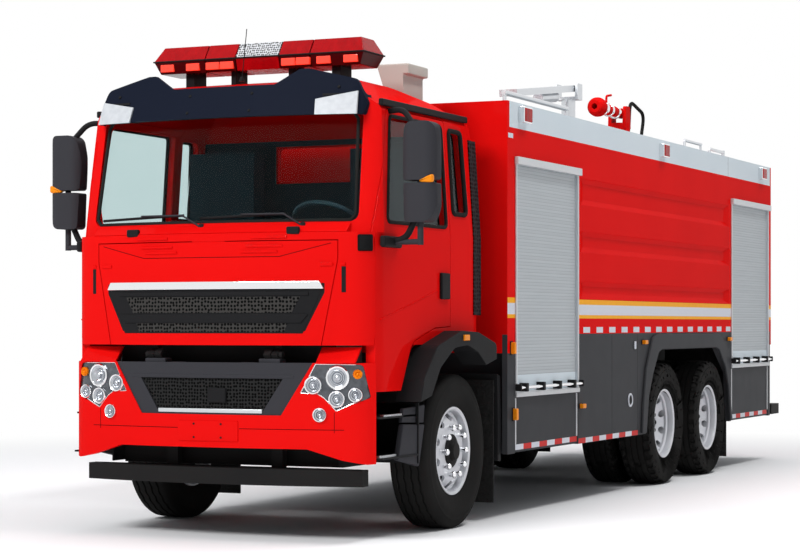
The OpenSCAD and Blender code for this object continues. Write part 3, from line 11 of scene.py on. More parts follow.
# %% Load the solid model
import json
import math
import bmesh
import bpy
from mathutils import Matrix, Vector

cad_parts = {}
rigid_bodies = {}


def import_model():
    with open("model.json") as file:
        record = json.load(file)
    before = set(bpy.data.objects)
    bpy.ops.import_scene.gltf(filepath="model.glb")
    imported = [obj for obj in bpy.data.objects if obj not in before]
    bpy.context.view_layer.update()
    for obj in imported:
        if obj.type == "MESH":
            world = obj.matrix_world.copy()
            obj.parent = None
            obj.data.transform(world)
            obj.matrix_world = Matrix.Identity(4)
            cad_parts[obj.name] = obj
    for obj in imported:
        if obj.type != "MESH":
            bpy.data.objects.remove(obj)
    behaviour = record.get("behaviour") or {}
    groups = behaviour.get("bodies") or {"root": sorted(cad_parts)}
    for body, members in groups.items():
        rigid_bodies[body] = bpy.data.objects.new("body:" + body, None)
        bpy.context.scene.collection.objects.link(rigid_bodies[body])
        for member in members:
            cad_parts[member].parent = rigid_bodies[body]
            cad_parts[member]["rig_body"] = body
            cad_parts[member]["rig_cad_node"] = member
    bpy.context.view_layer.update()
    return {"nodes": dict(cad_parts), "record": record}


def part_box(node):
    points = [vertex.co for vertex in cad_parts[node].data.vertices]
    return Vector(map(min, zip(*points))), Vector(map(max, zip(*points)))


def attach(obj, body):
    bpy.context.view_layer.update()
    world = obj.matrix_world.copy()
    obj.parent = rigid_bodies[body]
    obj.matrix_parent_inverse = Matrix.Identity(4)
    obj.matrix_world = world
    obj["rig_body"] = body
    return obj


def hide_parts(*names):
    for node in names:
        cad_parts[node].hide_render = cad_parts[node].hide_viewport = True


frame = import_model()
bpy.context.scene.view_settings.view_transform = "Standard"
axle_low, axle_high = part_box("knuckle_left")
FRONT_AXLE = (axle_low.y + axle_high.y) / 2


def at(x, y, z):
    """A point whose second number is counted from the front axle."""
    return Vector((x, y + FRONT_AXLE, z))


print(len(frame["nodes"]), "solids, front axle at", round(FRONT_AXLE, 3))

# %% [markdown]
# ## The camera and the light
#
# The camera stands where the photographer stood: about 17 m ahead and to the left of the truck, at chest
# height, with a long lens. It looks level, and a small lens shift keeps the truck in the frame, because
# tilting the camera would make the upright edges lean. The light is a soft studio sky with a large lamp in
# front, a long one high over the left side, which shades the pressed panels, and a weak one overhead.

# %% Camera
PHOTO_WIDTH, PHOTO_HEIGHT = 800, 559
FOCAL_PIXELS, LENS_CENTRE, SENSOR = 2166.16, (396.0, 324.25), 36
EYE, TURN = at(6.902, -13.676, 1.397), 0.4255
bpy.ops.object.select_all(action="DESELECT")
bpy.ops.object.camera_add(location=EYE, rotation=(math.pi / 2, 0, TURN))
camera = bpy.context.object
camera.data.sensor_width = SENSOR
camera.data.lens = FOCAL_PIXELS * SENSOR / PHOTO_WIDTH
camera.data.shift_x = (PHOTO_WIDTH / 2 - LENS_CENTRE[0]) / PHOTO_WIDTH
camera.data.shift_y = (LENS_CENTRE[1] - PHOTO_HEIGHT / 2) / PHOTO_WIDTH
bpy.context.scene.camera = camera
print("lens", round(camera.data.lens, 1), "mm")

# %% Studio sky
HORIZON, MIDDLE = (0.40, (0.10, 0.10, 0.11, 1)), (0.60, (0.28, 0.30, 0.33, 1))
ZENITH = (0.92, (0.95, 0.97, 1.0, 1))
SKY_STRENGTH = 0.5


def seen_directly(tree):
    """One for rays from the camera, from metal and through glass, which all see the white backdrop."""
    rays = tree.nodes.new("ShaderNodeLightPath")
    seen = rays.outputs["Is Camera Ray"]
    for kind in ("Is Glossy Ray", "Is Transmission Ray"):
        either = tree.nodes.new("ShaderNodeMath")
        either.operation = "MAXIMUM"
        tree.links.new(seen, either.inputs[0])
        tree.links.new(rays.outputs[kind], either.inputs[1])
        seen = either.outputs[0]
    return seen


def backdrop(tree, share, plain, white, output):
    """Shows a plain shader and, by a share, a white one."""
    mix = tree.nodes.new("ShaderNodeMixShader")
    tree.links.new(share, mix.inputs["Fac"])
    tree.links.new(plain.outputs[0], mix.inputs[1])
    tree.links.new(white.outputs[0], mix.inputs[2])
    tree.links.new(mix.outputs[0], tree.nodes[output].inputs["Surface"])


world = bpy.data.worlds.new("studio_sky")
bpy.context.scene.world = world
world.use_nodes = True
sky = world.node_tree
sky_nodes, sky_links = sky.nodes, sky.links
grey_sky, white_sky = sky_nodes["Background"], sky_nodes.new("ShaderNodeBackground")
grey_sky.inputs["Strength"].default_value = SKY_STRENGTH
white_sky.inputs["Color"].default_value = (1, 1, 1, 1)
sky_place, sky_split = sky_nodes.new("ShaderNodeTexCoord"), sky_nodes.new("ShaderNodeSeparateXYZ")
sky_up, sky_ramp = sky_nodes.new("ShaderNodeMapRange"), sky_nodes.new("ShaderNodeValToRGB")
sky_up.inputs["From Min"].default_value = -1.0
stops = sky_ramp.color_ramp.elements
for stop, (height, colour) in zip(stops, (HORIZON, ZENITH)):
    stop.position, stop.color = height, colour
stops.new(MIDDLE[0]).color = MIDDLE[1]
sky_links.new(sky_place.outputs["Generated"], sky_split.inputs[0])
sky_links.new(sky_split.outputs["Z"], sky_up.inputs["Value"])
sky_links.new(sky_up.outputs["Result"], sky_ramp.inputs["Fac"])
sky_links.new(sky_ramp.outputs["Color"], grey_sky.inputs["Color"])
backdrop(sky, seen_directly(sky), grey_sky, white_sky, "World Output")
print("sky of strength", SKY_STRENGTH)

# %% Lamps
LAMPS = [("key_lamp", at(-3.0, -15, 13), at(0, 1, 1.2), (8, 5), 2600),
         ("side_lamp", at(6.5, 3.0, 14), at(0, 3, 1.5), (10, 2), 1000),
         ("top_lamp", at(0, 4, 14), at(0, 3.5, 2), (8, 14), 500)]
for name, place, aim, size, power in LAMPS:
    bpy.ops.object.light_add(type="AREA", location=place)
    soft_lamp = bpy.context.object
    soft_lamp.name = name
    soft_lamp.data.shape = "RECTANGLE"
    soft_lamp.data.size, soft_lamp.data.size_y = size
    soft_lamp.data.energy = power
    soft_lamp.rotation_euler = (aim - place).to_track_quat("-Z", "Y").to_euler()
print(len(LAMPS), "lamps")

# %% Floor
FLOOR_RADIUS, FADE_FROM, FADE_TO = 60, 5.0, 10.5
bpy.ops.mesh.primitive_circle_add(vertices=96, radius=FLOOR_RADIUS, fill_type="NGON", location=(0, 0, 0))
floor = bpy.context.object
floor.name = "studio_floor"
floor_paint = bpy.data.materials.new("studio_floor_paint")
floor_paint.use_nodes = True
floor.data.materials.append(floor_paint)
paint = floor_paint.node_tree
paint_nodes, paint_links = paint.nodes, paint.links
pale_floor, white_floor = paint_nodes["Principled BSDF"], paint_nodes.new("ShaderNodeEmission")
pale_floor.inputs["Base Color"].default_value = (0.93, 0.93, 0.94, 1)
pale_floor.inputs["Roughness"].default_value = 0.75
floor_place, far_out = paint_nodes.new("ShaderNodeTexCoord"), paint_nodes.new("ShaderNodeVectorMath")
far_out.operation = "LENGTH"
fade, faded = paint_nodes.new("ShaderNodeMapRange"), paint_nodes.new("ShaderNodeMath")
fade.interpolation_type = "SMOOTHSTEP"
fade.inputs["From Min"].default_value, fade.inputs["From Max"].default_value = FADE_FROM, FADE_TO
faded.operation = "MULTIPLY"
paint_links.new(floor_place.outputs["Object"], far_out.inputs[0])
paint_links.new(far_out.outputs["Value"], fade.inputs["Value"])
paint_links.new(fade.outputs["Result"], faded.inputs[0])
paint_links.new(seen_directly(paint), faded.inputs[1])
backdrop(paint, faded.outputs[0], pale_floor, white_floor, "Material Output")
print("floor radius", FLOOR_RADIUS, "m, fades to white between", FADE_FROM, "and", FADE_TO, "m")

# %% [markdown]
# ## The finishes
#
# Every finish starts from the same shader. What makes it paint, rubber or cast metal is how its colour,
# roughness and surface wander over the piece. Each of these reads the place of the point on the truck,
# so neighbouring panels run on into each other and nothing slides when a door opens.

# %% One helper for all finishes
MIX_FACTOR, MIX_A, MIX_B, MIX_RESULT = 0, 6, 7, 2


def finish(name, colour, other=None, drift=1.5, rough=(0.3, 0.4), rough_scale=6.0, bump=0.0, bump_scale=400.0,
           bump_depth=0.0005, stretch=(1, 1, 1), **sockets):
    """A shader whose colour, roughness and surface vary by noise; other sockets keep one value all over."""
    made = bpy.data.materials.new(name)
    made.use_nodes = True
    nodes, links = made.node_tree.nodes, made.node_tree.links
    shader = nodes["Principled BSDF"]
    place = nodes.new("ShaderNodeTexCoord")
    turn = nodes.new("ShaderNodeMapping")
    turn.inputs["Scale"].default_value = stretch
    links.new(place.outputs["Object"], turn.inputs["Vector"])

    def noise(scale, detail):
        grain = nodes.new("ShaderNodeTexNoise")
        grain.inputs["Scale"].default_value = scale
        grain.inputs["Detail"].default_value = detail
        links.new(turn.outputs["Vector"], grain.inputs["Vector"])
        return grain

    tint = nodes.new("ShaderNodeMix")
    tint.data_type = "RGBA"
    tint.inputs[MIX_A].default_value = (*colour, 1)
    tint.inputs[MIX_B].default_value = (*(other or [c * 0.88 for c in colour]), 1)
    links.new(noise(drift, 3).outputs["Fac"], tint.inputs[MIX_FACTOR])
    links.new(tint.outputs[MIX_RESULT], shader.inputs["Base Color"])
    spread = nodes.new("ShaderNodeMapRange")
    spread.inputs["To Min"].default_value, spread.inputs["To Max"].default_value = rough
    links.new(noise(rough_scale, 4).outputs["Fac"], spread.inputs["Value"])
    links.new(spread.outputs["Result"], shader.inputs["Roughness"])
    if bump:
        ridge = nodes.new("ShaderNodeBump")
        ridge.inputs["Strength"].default_value = bump
        ridge.inputs["Distance"].default_value = bump_depth
        links.new(noise(bump_scale, 2).outputs["Fac"], ridge.inputs["Height"])
        links.new(ridge.outputs["Normal"], shader.inputs["Normal"])
    for socket, value in sockets.items():
        shader.inputs[socket.replace("_", " ")].default_value = value
    return made


# %% Paints, plastics, metals and lenses
RED = finish("red_gloss_paint", (0.76, 0.006, 0.005), (0.68, 0.004, 0.004), rough=(0.16, 0.24), bump=0.05,
             bump_scale=160, Specular_IOR_Level=0.0, Coat_Weight=0.06, Coat_Roughness=0.05)
CHARCOAL = finish("charcoal_satin_paint", (0.050, 0.051, 0.055), rough=(0.38, 0.5), bump=0.06, bump_scale=700,
                  Specular_IOR_Level=0.02)
PALE = finish("pale_blue_paint", (0.64, 0.71, 0.75), (0.58, 0.66, 0.71), rough=(0.28, 0.38),
              Specular_IOR_Level=0.08)
GREY_PLASTIC = finish("grey_grained_plastic", (0.042, 0.042, 0.048), rough=(0.45, 0.6), bump=0.25,
                      bump_scale=900, Specular_IOR_Level=0.03)
BLACK_PLASTIC = finish("black_grained_plastic", (0.016, 0.016, 0.017), rough=(0.4, 0.55), bump=0.25,
                       bump_scale=900, Specular_IOR_Level=0.03)
VISOR = finish("dark_navy_gloss", (0.010, 0.013, 0.024), rough=(0.40, 0.52), Specular_IOR_Level=0.01)
BLACK_STEEL = finish("black_frame_paint", (0.012, 0.012, 0.013), (0.020, 0.019, 0.018), rough=(0.4, 0.6),
                     bump=0.1, bump_scale=250, Specular_IOR_Level=0.03)
RUBBER = finish("black_rubber", (0.014, 0.014, 0.014), (0.022, 0.021, 0.02), rough=(0.6, 0.8), bump=0.2,
                bump_scale=600, Specular_IOR_Level=0.03)
TYRE = finish("tyre_rubber", (0.012, 0.012, 0.012), (0.022, 0.021, 0.020), drift=5, rough=(0.6, 0.82),
              bump=0.25, bump_scale=350, Specular_IOR_Level=0.02)
BRIGHT_PROFILE = finish("bright_drawn_profile", (0.60, 0.61, 0.62), (0.54, 0.55, 0.57), rough=(0.35, 0.45),
                        stretch=(1, 14, 14), Metallic=0.25)
SILVER = finish("satin_aluminium", (0.68, 0.70, 0.72), (0.60, 0.62, 0.65), rough=(0.25, 0.4), rough_scale=20,
                stretch=(1, 1, 14), Metallic=1.0)
SHUTTER = finish("anodised_slats", (0.43, 0.46, 0.48), (0.39, 0.42, 0.44), rough=(0.45, 0.55),
                 stretch=(1, 1, 9), Metallic=0.2)
ALLOY = finish("silver_wheel_paint", (0.62, 0.63, 0.66), (0.55, 0.56, 0.59), rough=(0.30, 0.42), rough_scale=30,
               Metallic=0.55, Specular_IOR_Level=0.2, Coat_Weight=0.05)
CHROME = finish("bright_chrome", (0.86, 0.87, 0.88), (0.8, 0.81, 0.83), rough=(0.05, 0.1), Metallic=1.0)
CAST = finish("cast_iron", (0.09, 0.09, 0.095), (0.13, 0.12, 0.115), drift=8, rough=(0.55, 0.75), bump=0.35,
              bump_scale=180, Metallic=0.4)
DECK = finish("worn_deck_plate", (0.42, 0.43, 0.44), (0.34, 0.35, 0.36), drift=4, rough=(0.35, 0.55),
              Metallic=0.8)
GREIGE = finish("greige_cover_plastic", (0.50, 0.47, 0.42), (0.44, 0.41, 0.37), rough=(0.45, 0.6), bump=0.1)
TRIM = finish("dark_cab_trim", (0.022, 0.045, 0.058), (0.034, 0.060, 0.074), drift=9, rough=(0.6, 0.8),
              bump=0.3, bump_scale=500, Specular_IOR_Level=0.05)
GLASS = finish("tinted_glass", (0.74, 0.83, 0.83), (0.70, 0.80, 0.80), rough=(0.0, 0.02),
               Transmission_Weight=1.0, IOR=1.12)
RED_LENS = finish("red_lens", (0.46, 0.003, 0.006), (0.24, 0.002, 0.004), drift=2.2, rough=(0.08, 0.16),
                  bump=0.5, bump_scale=9, bump_depth=0.003, stretch=(9, 9, 2), Specular_IOR_Level=0.08)
AMBER = finish("amber_lens", (0.90, 0.30, 0.01), (0.80, 0.22, 0.006), drift=30, rough=(0.1, 0.2), bump=0.3,
               bump_scale=160, Specular_IOR_Level=0.05, Coat_Weight=0.1)
WHITE_TAPE = finish("white_reflective_tape", (0.66, 0.68, 0.73), (0.60, 0.62, 0.68), drift=40,
                    rough=(0.35, 0.5), Specular_IOR_Level=0.1)
YELLOW_TAPE = finish("yellow_tape", (0.92, 0.42, 0.01), (0.86, 0.36, 0.008), drift=12, rough=(0.35, 0.5),
                     Specular_IOR_Level=0.05)
RED_TAPE = finish("red_reflective_tape", (0.62, 0.02, 0.015), (0.52, 0.012, 0.01), drift=40, rough=(0.3, 0.45),
                  Specular_IOR_Level=0.05)
# Dark red for the joints of the bumper, also used as painted shade in the creases of the lid.
SEAM_AND_CREASE_SHADE = finish("dark_seam_and_crease_shade", (0.06, 0.004, 0.004), (0.04, 0.003, 0.003), drift=8, rough=(0.5, 0.7),
              Specular_IOR_Level=0.02)
LAMP_GLASS = finish("lamp_mirror", (0.62, 0.64, 0.68), (0.30, 0.32, 0.35), drift=30, rough=(0.04, 0.12),
                    bump=0.4, bump_scale=120, Metallic=1.0)
LAMP_BOWL = finish("dark_lamp_bowl", (0.030, 0.033, 0.038), (0.16, 0.17, 0.19), drift=26, rough=(0.08, 0.2),
                   bump=0.6, bump_scale=60, bump_depth=0.004, Metallic=0.7)


def perforated(name, sheet, hole_shade, pitch, across="X"):
    """A sheet whose round holes are drawn by distance to the nearest point of an upright grid; the hole colour
    is painted shade of the dark space behind them.
    """
    made = finish(name, sheet, rough=(0.4, 0.55), Specular_IOR_Level=0.03)
    nodes, links = made.node_tree.nodes, made.node_tree.links
    place = next(n for n in nodes if n.type == "TEX_COORD")
    split, flat = nodes.new("ShaderNodeSeparateXYZ"), nodes.new("ShaderNodeCombineXYZ")
    cells = nodes.new("ShaderNodeTexVoronoi")
    cells.voronoi_dimensions = "2D"
    cells.inputs["Scale"].default_value = 1 / pitch
    cells.inputs["Randomness"].default_value = 0.35
    edge = nodes.new("ShaderNodeMapRange")
    edge.inputs["From Min"].default_value, edge.inputs["From Max"].default_value = 0.30, 0.42
    holes = nodes.new("ShaderNodeMix")
    holes.data_type = "RGBA"
    holes.inputs[MIX_A].default_value = (*hole_shade, 1)
    holes.inputs[MIX_B].default_value = (*sheet, 1)
    links.new(place.outputs["Object"], split.inputs[0])
    links.new(split.outputs[across], flat.inputs["X"])
    links.new(split.outputs["Z"], flat.inputs["Y"])
    links.new(flat.outputs[0], cells.inputs["Vector"])
    links.new(cells.outputs["Distance"], edge.inputs["Value"])
    links.new(edge.outputs["Result"], holes.inputs[MIX_FACTOR])
    links.new(holes.outputs[MIX_RESULT], nodes["Principled BSDF"].inputs["Base Color"])
    return made


# The hole colours are painted shade: the dark space seen through the openings.
MESH = perforated("perforated_sheet", (0.045, 0.043, 0.041), (0.002, 0.002, 0.002), 0.024)
# A darker copy of the perforated sheet: painted shade for the recessed lower grille.
RECESS_SHADE_MESH = perforated("shaded_perforated_sheet", (0.020, 0.020, 0.020), (0.001, 0.001, 0.001), 0.022)
SPEAKER = perforated("speaker_sheet", (0.62, 0.64, 0.66), (0.03, 0.03, 0.03), 0.016)
INTAKE = perforated("intake_sheet", (0.030, 0.030, 0.033), (0.002, 0.002, 0.002), 0.028, "Y")
VISOR_LAMP = finish("frosted_lamp", (0.62, 0.64, 0.66), (0.44, 0.46, 0.49), drift=24, rough=(0.15, 0.3),
                    bump=0.4, bump_scale=90, Specular_IOR_Level=0.1)
DARK_LENS = finish("dark_red_lens", (0.085, 0.003, 0.004), (0.04, 0.002, 0.003), drift=14, rough=(0.08, 0.16),
                   bump=0.3, bump_scale=90, Specular_IOR_Level=0.05)
LIT_RED = finish("lit_red_unit", (0.95, 0.06, 0.03), (0.80, 0.03, 0.015), drift=40, rough=(0.1, 0.2), bump=0.3,
                 bump_scale=120, Emission_Color=(1, 0.05, 0.02, 1), Emission_Strength=0.5)
STONE = finish("stone_textured_rubber", (0.016, 0.016, 0.016), (0.03, 0.029, 0.028), drift=30, rough=(0.6, 0.8),
               bump=1.0, bump_scale=45, bump_depth=0.012, Specular_IOR_Level=0.03)


def lined(made, pitch, share, colour):
    """Draws level lines on a finish: the first part of every pitch takes another colour."""
    nodes, links = made.node_tree.nodes, made.node_tree.links
    tint, place = nodes["Mix"], next(n for n in nodes if n.type == "TEX_COORD")
    split = nodes.new("ShaderNodeSeparateXYZ")
    links.new(place.outputs["Object"], split.inputs[0])
    height = split.outputs["Z"]
    for operation, value in (("DIVIDE", pitch), ("FRACT", 0.0), ("LESS_THAN", share)):
        step = nodes.new("ShaderNodeMath")
        step.operation = operation
        step.inputs[1].default_value = value
        links.new(height, step.inputs[0])
        height = step.outputs[0]
    lines = nodes.new("ShaderNodeMix")
    lines.data_type = "RGBA"
    lines.inputs[MIX_B].default_value = (*colour, 1)
    links.new(height, lines.inputs[MIX_FACTOR])
    links.new(tint.outputs[MIX_RESULT], lines.inputs[MIX_A])
    links.new(lines.outputs[MIX_RESULT], nodes["Principled BSDF"].inputs["Base Color"])


lined(SHUTTER, 0.024, 0.14, (0.27, 0.30, 0.32))
print(len(bpy.data.materials), "finishes")

# %% [markdown]
# ## Finishes for the solids that stay as they are
#
# Frame rails, axles and flat sheet parts already have the right shape, so they only change their finish.
# A table from node to finish is enough. Pieces that are modelled again further down get theirs there.

# %% Finish by node
NODE_FINISH = {
    "chassis_frame": BLACK_STEEL, "engine_block": CAST, "axles": BLACK_STEEL, "front_bumper": RED,
    "lower_grille": GREY_PLASTIC, "headlamps": LAMP_BOWL, "underrun_bar": BLACK_STEEL,
    "cab_steps": BLACK_PLASTIC,
    "mud_flaps": STONE, "body_floor": DECK, "water_tank": DECK, "end_walls": RED, "roof_deck": DECK,
    "parapets": PALE,
    "side_panels": RED, "skirts": CHARCOAL, "wheel_arches": CHARCOAL, "shutter_frames": SILVER,
    "roller_shutters": SHUTTER, "marker_lamps": AMBER, "rear_step": BLACK_STEEL, "rails_and_ladder": SILVER,
    "monitor_base": RED, "mast_arm": SILVER, "monitor_turret": RED, "monitor_barrel": RED, "cab_shell": RED,
    "cab_glass": GLASS, "sun_visor": VISOR, "light_bar": RED_LENS, "roof_cooler": GREIGE, "air_intake": INTAKE,
    "cab_interior": TRIM, "cab_flares": BLACK_PLASTIC, "front_lid": RED, "upper_grille": BLACK_PLASTIC,
    "knuckle_left": CAST, "knuckle_right": CAST}
BY_START = {"flap_": CHARCOAL, "door_glass": GLASS, "door_": RED, "mirror_": BLACK_PLASTIC, "tyre": TYRE,
            "rim": ALLOY}
for node, solid in frame["nodes"].items():
    look = NODE_FINISH.get(node) or next(look for start, look in BY_START.items() if node.startswith(start))
    solid.data.materials.clear()
    solid.data.materials.append(look)
print("finishes on", len(frame["nodes"]), "solids")

# %% [markdown]
# ## Pressed panels with rounded edges
#
# The doors and the cab are pressed sheet: their edges are rolled and their broad faces are one smooth
# curve. Bumper, visor, flares and mirrors are moulded, with softer edges. The solids have sharp edges and
# flat strips. A copy of the mesh is welded, its flat triangles are joined, its sharp edges get a narrow
# bevel, and smooth shading runs over the strips.

# %% Helpers for pieces
ROLL_ANGLE = 32


def select_only(piece):
    bpy.ops.object.select_all(action="DESELECT")
    piece.select_set(True)
    bpy.context.view_layer.objects.active = piece


def apply_all(piece):
    """Every modifier goes into the mesh, in order."""
    select_only(piece)
    for modifier in list(piece.modifiers):
        bpy.ops.object.modifier_apply(modifier=modifier.name)


def even_shading(piece, angle):
    """Smooth shading up to an angle, led by the broad faces, so that narrow rounds don't tint them."""
    select_only(piece)
    if piece.data.has_custom_normals:
        bpy.ops.mesh.customdata_custom_splitnormals_clear()
    bpy.ops.object.shade_smooth_by_angle(angle=math.radians(angle))
    even = piece.modifiers.new("broad_faces_lead", "WEIGHTED_NORMAL")
    even.keep_sharp = True
    apply_all(piece)
    return piece


def roll_edges(piece, width, segments=2, angle=ROLL_ANGLE, smooth_up_to=None):
    """A narrow round along every edge sharper than the angle, then smooth shading."""
    bevel = piece.modifiers.new("rolled_edges", "BEVEL")
    bevel.width, bevel.segments = width, segments
    bevel.limit_method, bevel.angle_limit = "ANGLE", math.radians(angle)
    apply_all(piece)
    even_shading(piece, smooth_up_to or angle)


def settle(piece, name, look, body, slot, *replaced):
    """Names a finished piece, gives it its finish and lets it move with a body of the truck."""
    piece.name = name
    piece.data.name = name
    select_only(piece)
    bpy.ops.object.transform_apply(location=True, rotation=True, scale=True)
    piece.data.materials.clear()
    piece.data.materials.append(look)
    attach(piece, body)
    if replaced:
        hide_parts(*replaced)
    return piece


WELD_GAP, FLAT_WITHIN = 0.00005, 0.05


def welded_copy(node):
    """A copy of a solid's mesh with its triangles welded and its flat faces joined."""
    select_only(frame["nodes"][node])
    bpy.ops.object.duplicate()
    piece = bpy.context.object
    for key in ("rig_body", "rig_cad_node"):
        del piece[key]
    piece.parent = None
    bpy.ops.object.mode_set(mode="EDIT")
    bpy.ops.mesh.select_all(action="SELECT")
    bpy.ops.mesh.remove_doubles(threshold=WELD_GAP)
    bpy.ops.mesh.dissolve_limited(angle_limit=math.radians(FLAT_WITHIN))
    bpy.ops.object.mode_set(mode="OBJECT")
    return piece


# %% Panels of the cab and the front
BODY_OF = {node: body for body, nodes in frame["record"]["behaviour"]["bodies"].items() for node in nodes}
FLARE_ANGLE, RED_SMOOTH, PLASTIC_SMOOTH = 52, 18, 32
PANELS = {
    "cab_shell": ("pressed_cab", RED, "red_paint", 0.006),
    "door_left": ("pressed_door_left", RED, "red_paint", 0.006),
    "door_right": ("pressed_door_right", RED, "red_paint", 0.006),
    "front_bumper": ("moulded_bumper", RED, "red_paint", 0.006),
    "lower_grille": ("moulded_lower_grille", GREY_PLASTIC, "dark_plastic", 0.004),
    "sun_visor": ("moulded_visor", VISOR, "visor_black", 0.006),
    "cab_flares": ("moulded_flares", BLACK_PLASTIC, "dark_plastic", 0.012),
    "roof_cooler": ("moulded_roof_box", GREIGE, "cooler_shell", 0.012),
    "wheel_arches": ("moulded_arches", CHARCOAL, "dark_plastic", 0.006),
    "mirror_left": ("moulded_mirror_left", GREY_PLASTIC, "dark_plastic", 0.014),
    "mirror_right": ("moulded_mirror_right", GREY_PLASTIC, "dark_plastic", 0.014)}
for node, (name, look, slot, width) in PANELS.items():
    panel = welded_copy(node)
    if node == "cab_flares":
        roll_edges(panel, width, angle=FLARE_ANGLE)
    else:
        roll_edges(panel, width, smooth_up_to=RED_SMOOTH if look is RED else PLASTIC_SMOOTH)
    settle(panel, name, look, BODY_OF[node], slot, node)
    print(name, len(panel.data.polygons), "faces")

# %% [markdown]
# ## Tyres
#
# A tyre is a turned body: one section, spun about the axle. The section runs from bead to bead over the
# sidewall, with a rim-saver rib, the shoulder and four grooves. A steered tyre has wavy grooves, made by
# pushing the groove's points sideways along a sine. A driven tyre has open shoulder lugs, made by sinking
# every second strip of shoulder faces. Each kind is modelled once and copied to its places.

# %% Spin a section about the axle
AXLE_Z = (axle_low.z + axle_high.z) / 2
HUB_CENTRE = Vector((0, 0, AXLE_Z))
RING_WELD = 0.00002


def turned_loop(points, steps, centre, axis):
    """A closed loop of points, turned once about an axis."""
    bpy.ops.object.select_all(action="DESELECT")
    bpy.ops.mesh.primitive_circle_add(vertices=len(points), radius=1, fill_type="NOTHING", location=(0, 0, 0))
    ring = bpy.context.object
    for point, place in zip(ring.data.vertices, points):
        point.co = place
    bpy.ops.object.mode_set(mode="EDIT")
    bpy.ops.mesh.select_all(action="SELECT")
    bpy.ops.mesh.spin(steps=steps, angle=2 * math.pi, center=centre, axis=axis)
    bpy.ops.mesh.select_all(action="SELECT")
    bpy.ops.mesh.remove_doubles(threshold=RING_WELD)
    bpy.ops.mesh.normals_make_consistent(inside=False)
    bpy.ops.object.mode_set(mode="OBJECT")
    return ring


def spun(section, steps):
    """A ring turned about the wheel axis; the section is a closed loop of (radius, across)."""
    points = [HUB_CENTRE + Vector((across, 0, radius)) for radius, across in section]
    return turned_loop(points, steps, HUB_CENTRE, (1, 0, 0))


def both_flanks(half):
    """A section from its outer half: the same points again on the inner side, in reverse."""
    return half + [(radius, -across) for radius, across in reversed(half)]


TYRE_FLANK = [(0.2884, 0.1070), (0.3045, 0.1070), (0.3120, 0.1180), (0.3200, 0.1235), (0.3290, 0.1262),
              (0.3600, 0.1370), (0.3900, 0.1440), (0.4180, 0.1480), (0.4450, 0.1470), (0.4640, 0.1440),
              (0.4690, 0.1452), (0.4740, 0.1432), (0.4960, 0.1375), (0.5100, 0.1310), (0.5190, 0.1230)]
TYRE_CROWN = [(0.5245, 0.1130), (0.5268, 0.0860), (0.5130, 0.0830), (0.5130, 0.0750), (0.5276, 0.0720),
              (0.5292, 0.0330), (0.5150, 0.0305), (0.5150, 0.0225), (0.5296, 0.0200)]
TYRE_STEPS = 144
GROOVE_WAVES = 36
GROOVE_SWAY = 0.0045
SHOULDER_FLOOR, SHOULDER_FROM, SHOULDER_TO, CROWN_HALF = 0.5100, 0.09, 0.131, 0.1
TYRE_WIDTH = 0.298


def wheel_angle(place):
    return math.atan2(place.z - AXLE_Z, place.y)


def wheel_radius(place):
    return math.hypot(place.z - AXLE_Z, place.y)


def steer_tyre():
    """Wavy grooves: each point of the crown sways sideways as it goes round."""
    tyre = spun(both_flanks(TYRE_FLANK + TYRE_CROWN), TYRE_STEPS)
    for point in tyre.data.vertices:
        if wheel_radius(point.co) > SHOULDER_FLOOR and abs(point.co.x) < CROWN_HALF:
            point.co.x += GROOVE_SWAY * math.sin(GROOVE_WAVES * wheel_angle(point.co))
    return sink_shoulder(tyre, 4, 1, 0.006)


def sink_shoulder(tyre, pitch, width, depth):
    """Sinks some of every few strips of shoulder faces, so that lugs stand between them."""
    strip = 2 * math.pi / TYRE_STEPS
    for face in tyre.data.polygons:
        index = int((wheel_angle(face.center) + math.pi) / strip)
        across = abs(face.center.x)
        on_shoulder = wheel_radius(face.center) > SHOULDER_FLOOR and SHOULDER_FROM < across < SHOULDER_TO
        face.select = on_shoulder and index % pitch < width
    select_only(tyre)
    bpy.ops.object.mode_set(mode="EDIT")
    bpy.ops.mesh.select_mode(type="FACE")
    bpy.ops.mesh.extrude_region_shrink_fatten(TRANSFORM_OT_shrink_fatten={"value": -depth})
    bpy.ops.object.mode_set(mode="OBJECT")
    bpy.ops.object.shade_smooth_by_angle(angle=math.radians(ROLL_ANGLE))
    return tyre


def drive_tyre():
    """Straight grooves and open lugs on the shoulders."""
    return sink_shoulder(spun(both_flanks(TYRE_FLANK + TYRE_CROWN), TYRE_STEPS), 4, 2, 0.014)


def copy_to(piece, place, flip=False):
    """A copy with its own mesh, moved to a wheel's place and turned round for the right side."""
    select_only(piece)
    bpy.ops.object.duplicate()
    copy = bpy.context.object
    copy.rotation_euler = (0, 0, math.pi if flip else 0)
    copy.location = place
    bpy.ops.object.transform_apply(location=True, rotation=True, scale=True)
    return copy


def joined(pieces):
    bpy.ops.object.select_all(action="DESELECT")
    for piece in pieces:
        piece.select_set(True)
    bpy.context.view_layer.objects.active = pieces[0]
    bpy.ops.object.join()
    return bpy.context.object


# %% Place the tyres
WHEEL_X, AXLE_Y = {}, {}
for tyre_node in [n for n in frame["nodes"] if n.startswith("tyre")]:
    low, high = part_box(tyre_node)
    inner, outer = low.x + TYRE_WIDTH / 2, high.x - TYRE_WIDTH / 2
    WHEEL_X[tyre_node] = [inner] if "front" in tyre_node else [inner, outer]
    AXLE_Y[tyre_node] = (low.y + high.y) / 2
patterns = {"front": steer_tyre(), "mid": drive_tyre()}
patterns["rear"] = patterns["mid"]
for tyre_node, places in WHEEL_X.items():
    kind = tyre_node.split("_")[1]
    on_right = tyre_node.endswith("right")
    tread = joined([copy_to(patterns[kind], Vector((x, AXLE_Y[tyre_node], 0)), on_right) for x in places])
    settle(tread, "tread_" + tyre_node, TYRE, BODY_OF[tyre_node], "tyre_rubber", tyre_node)
print("a tyre has", len(patterns["front"].data.polygons), "faces")

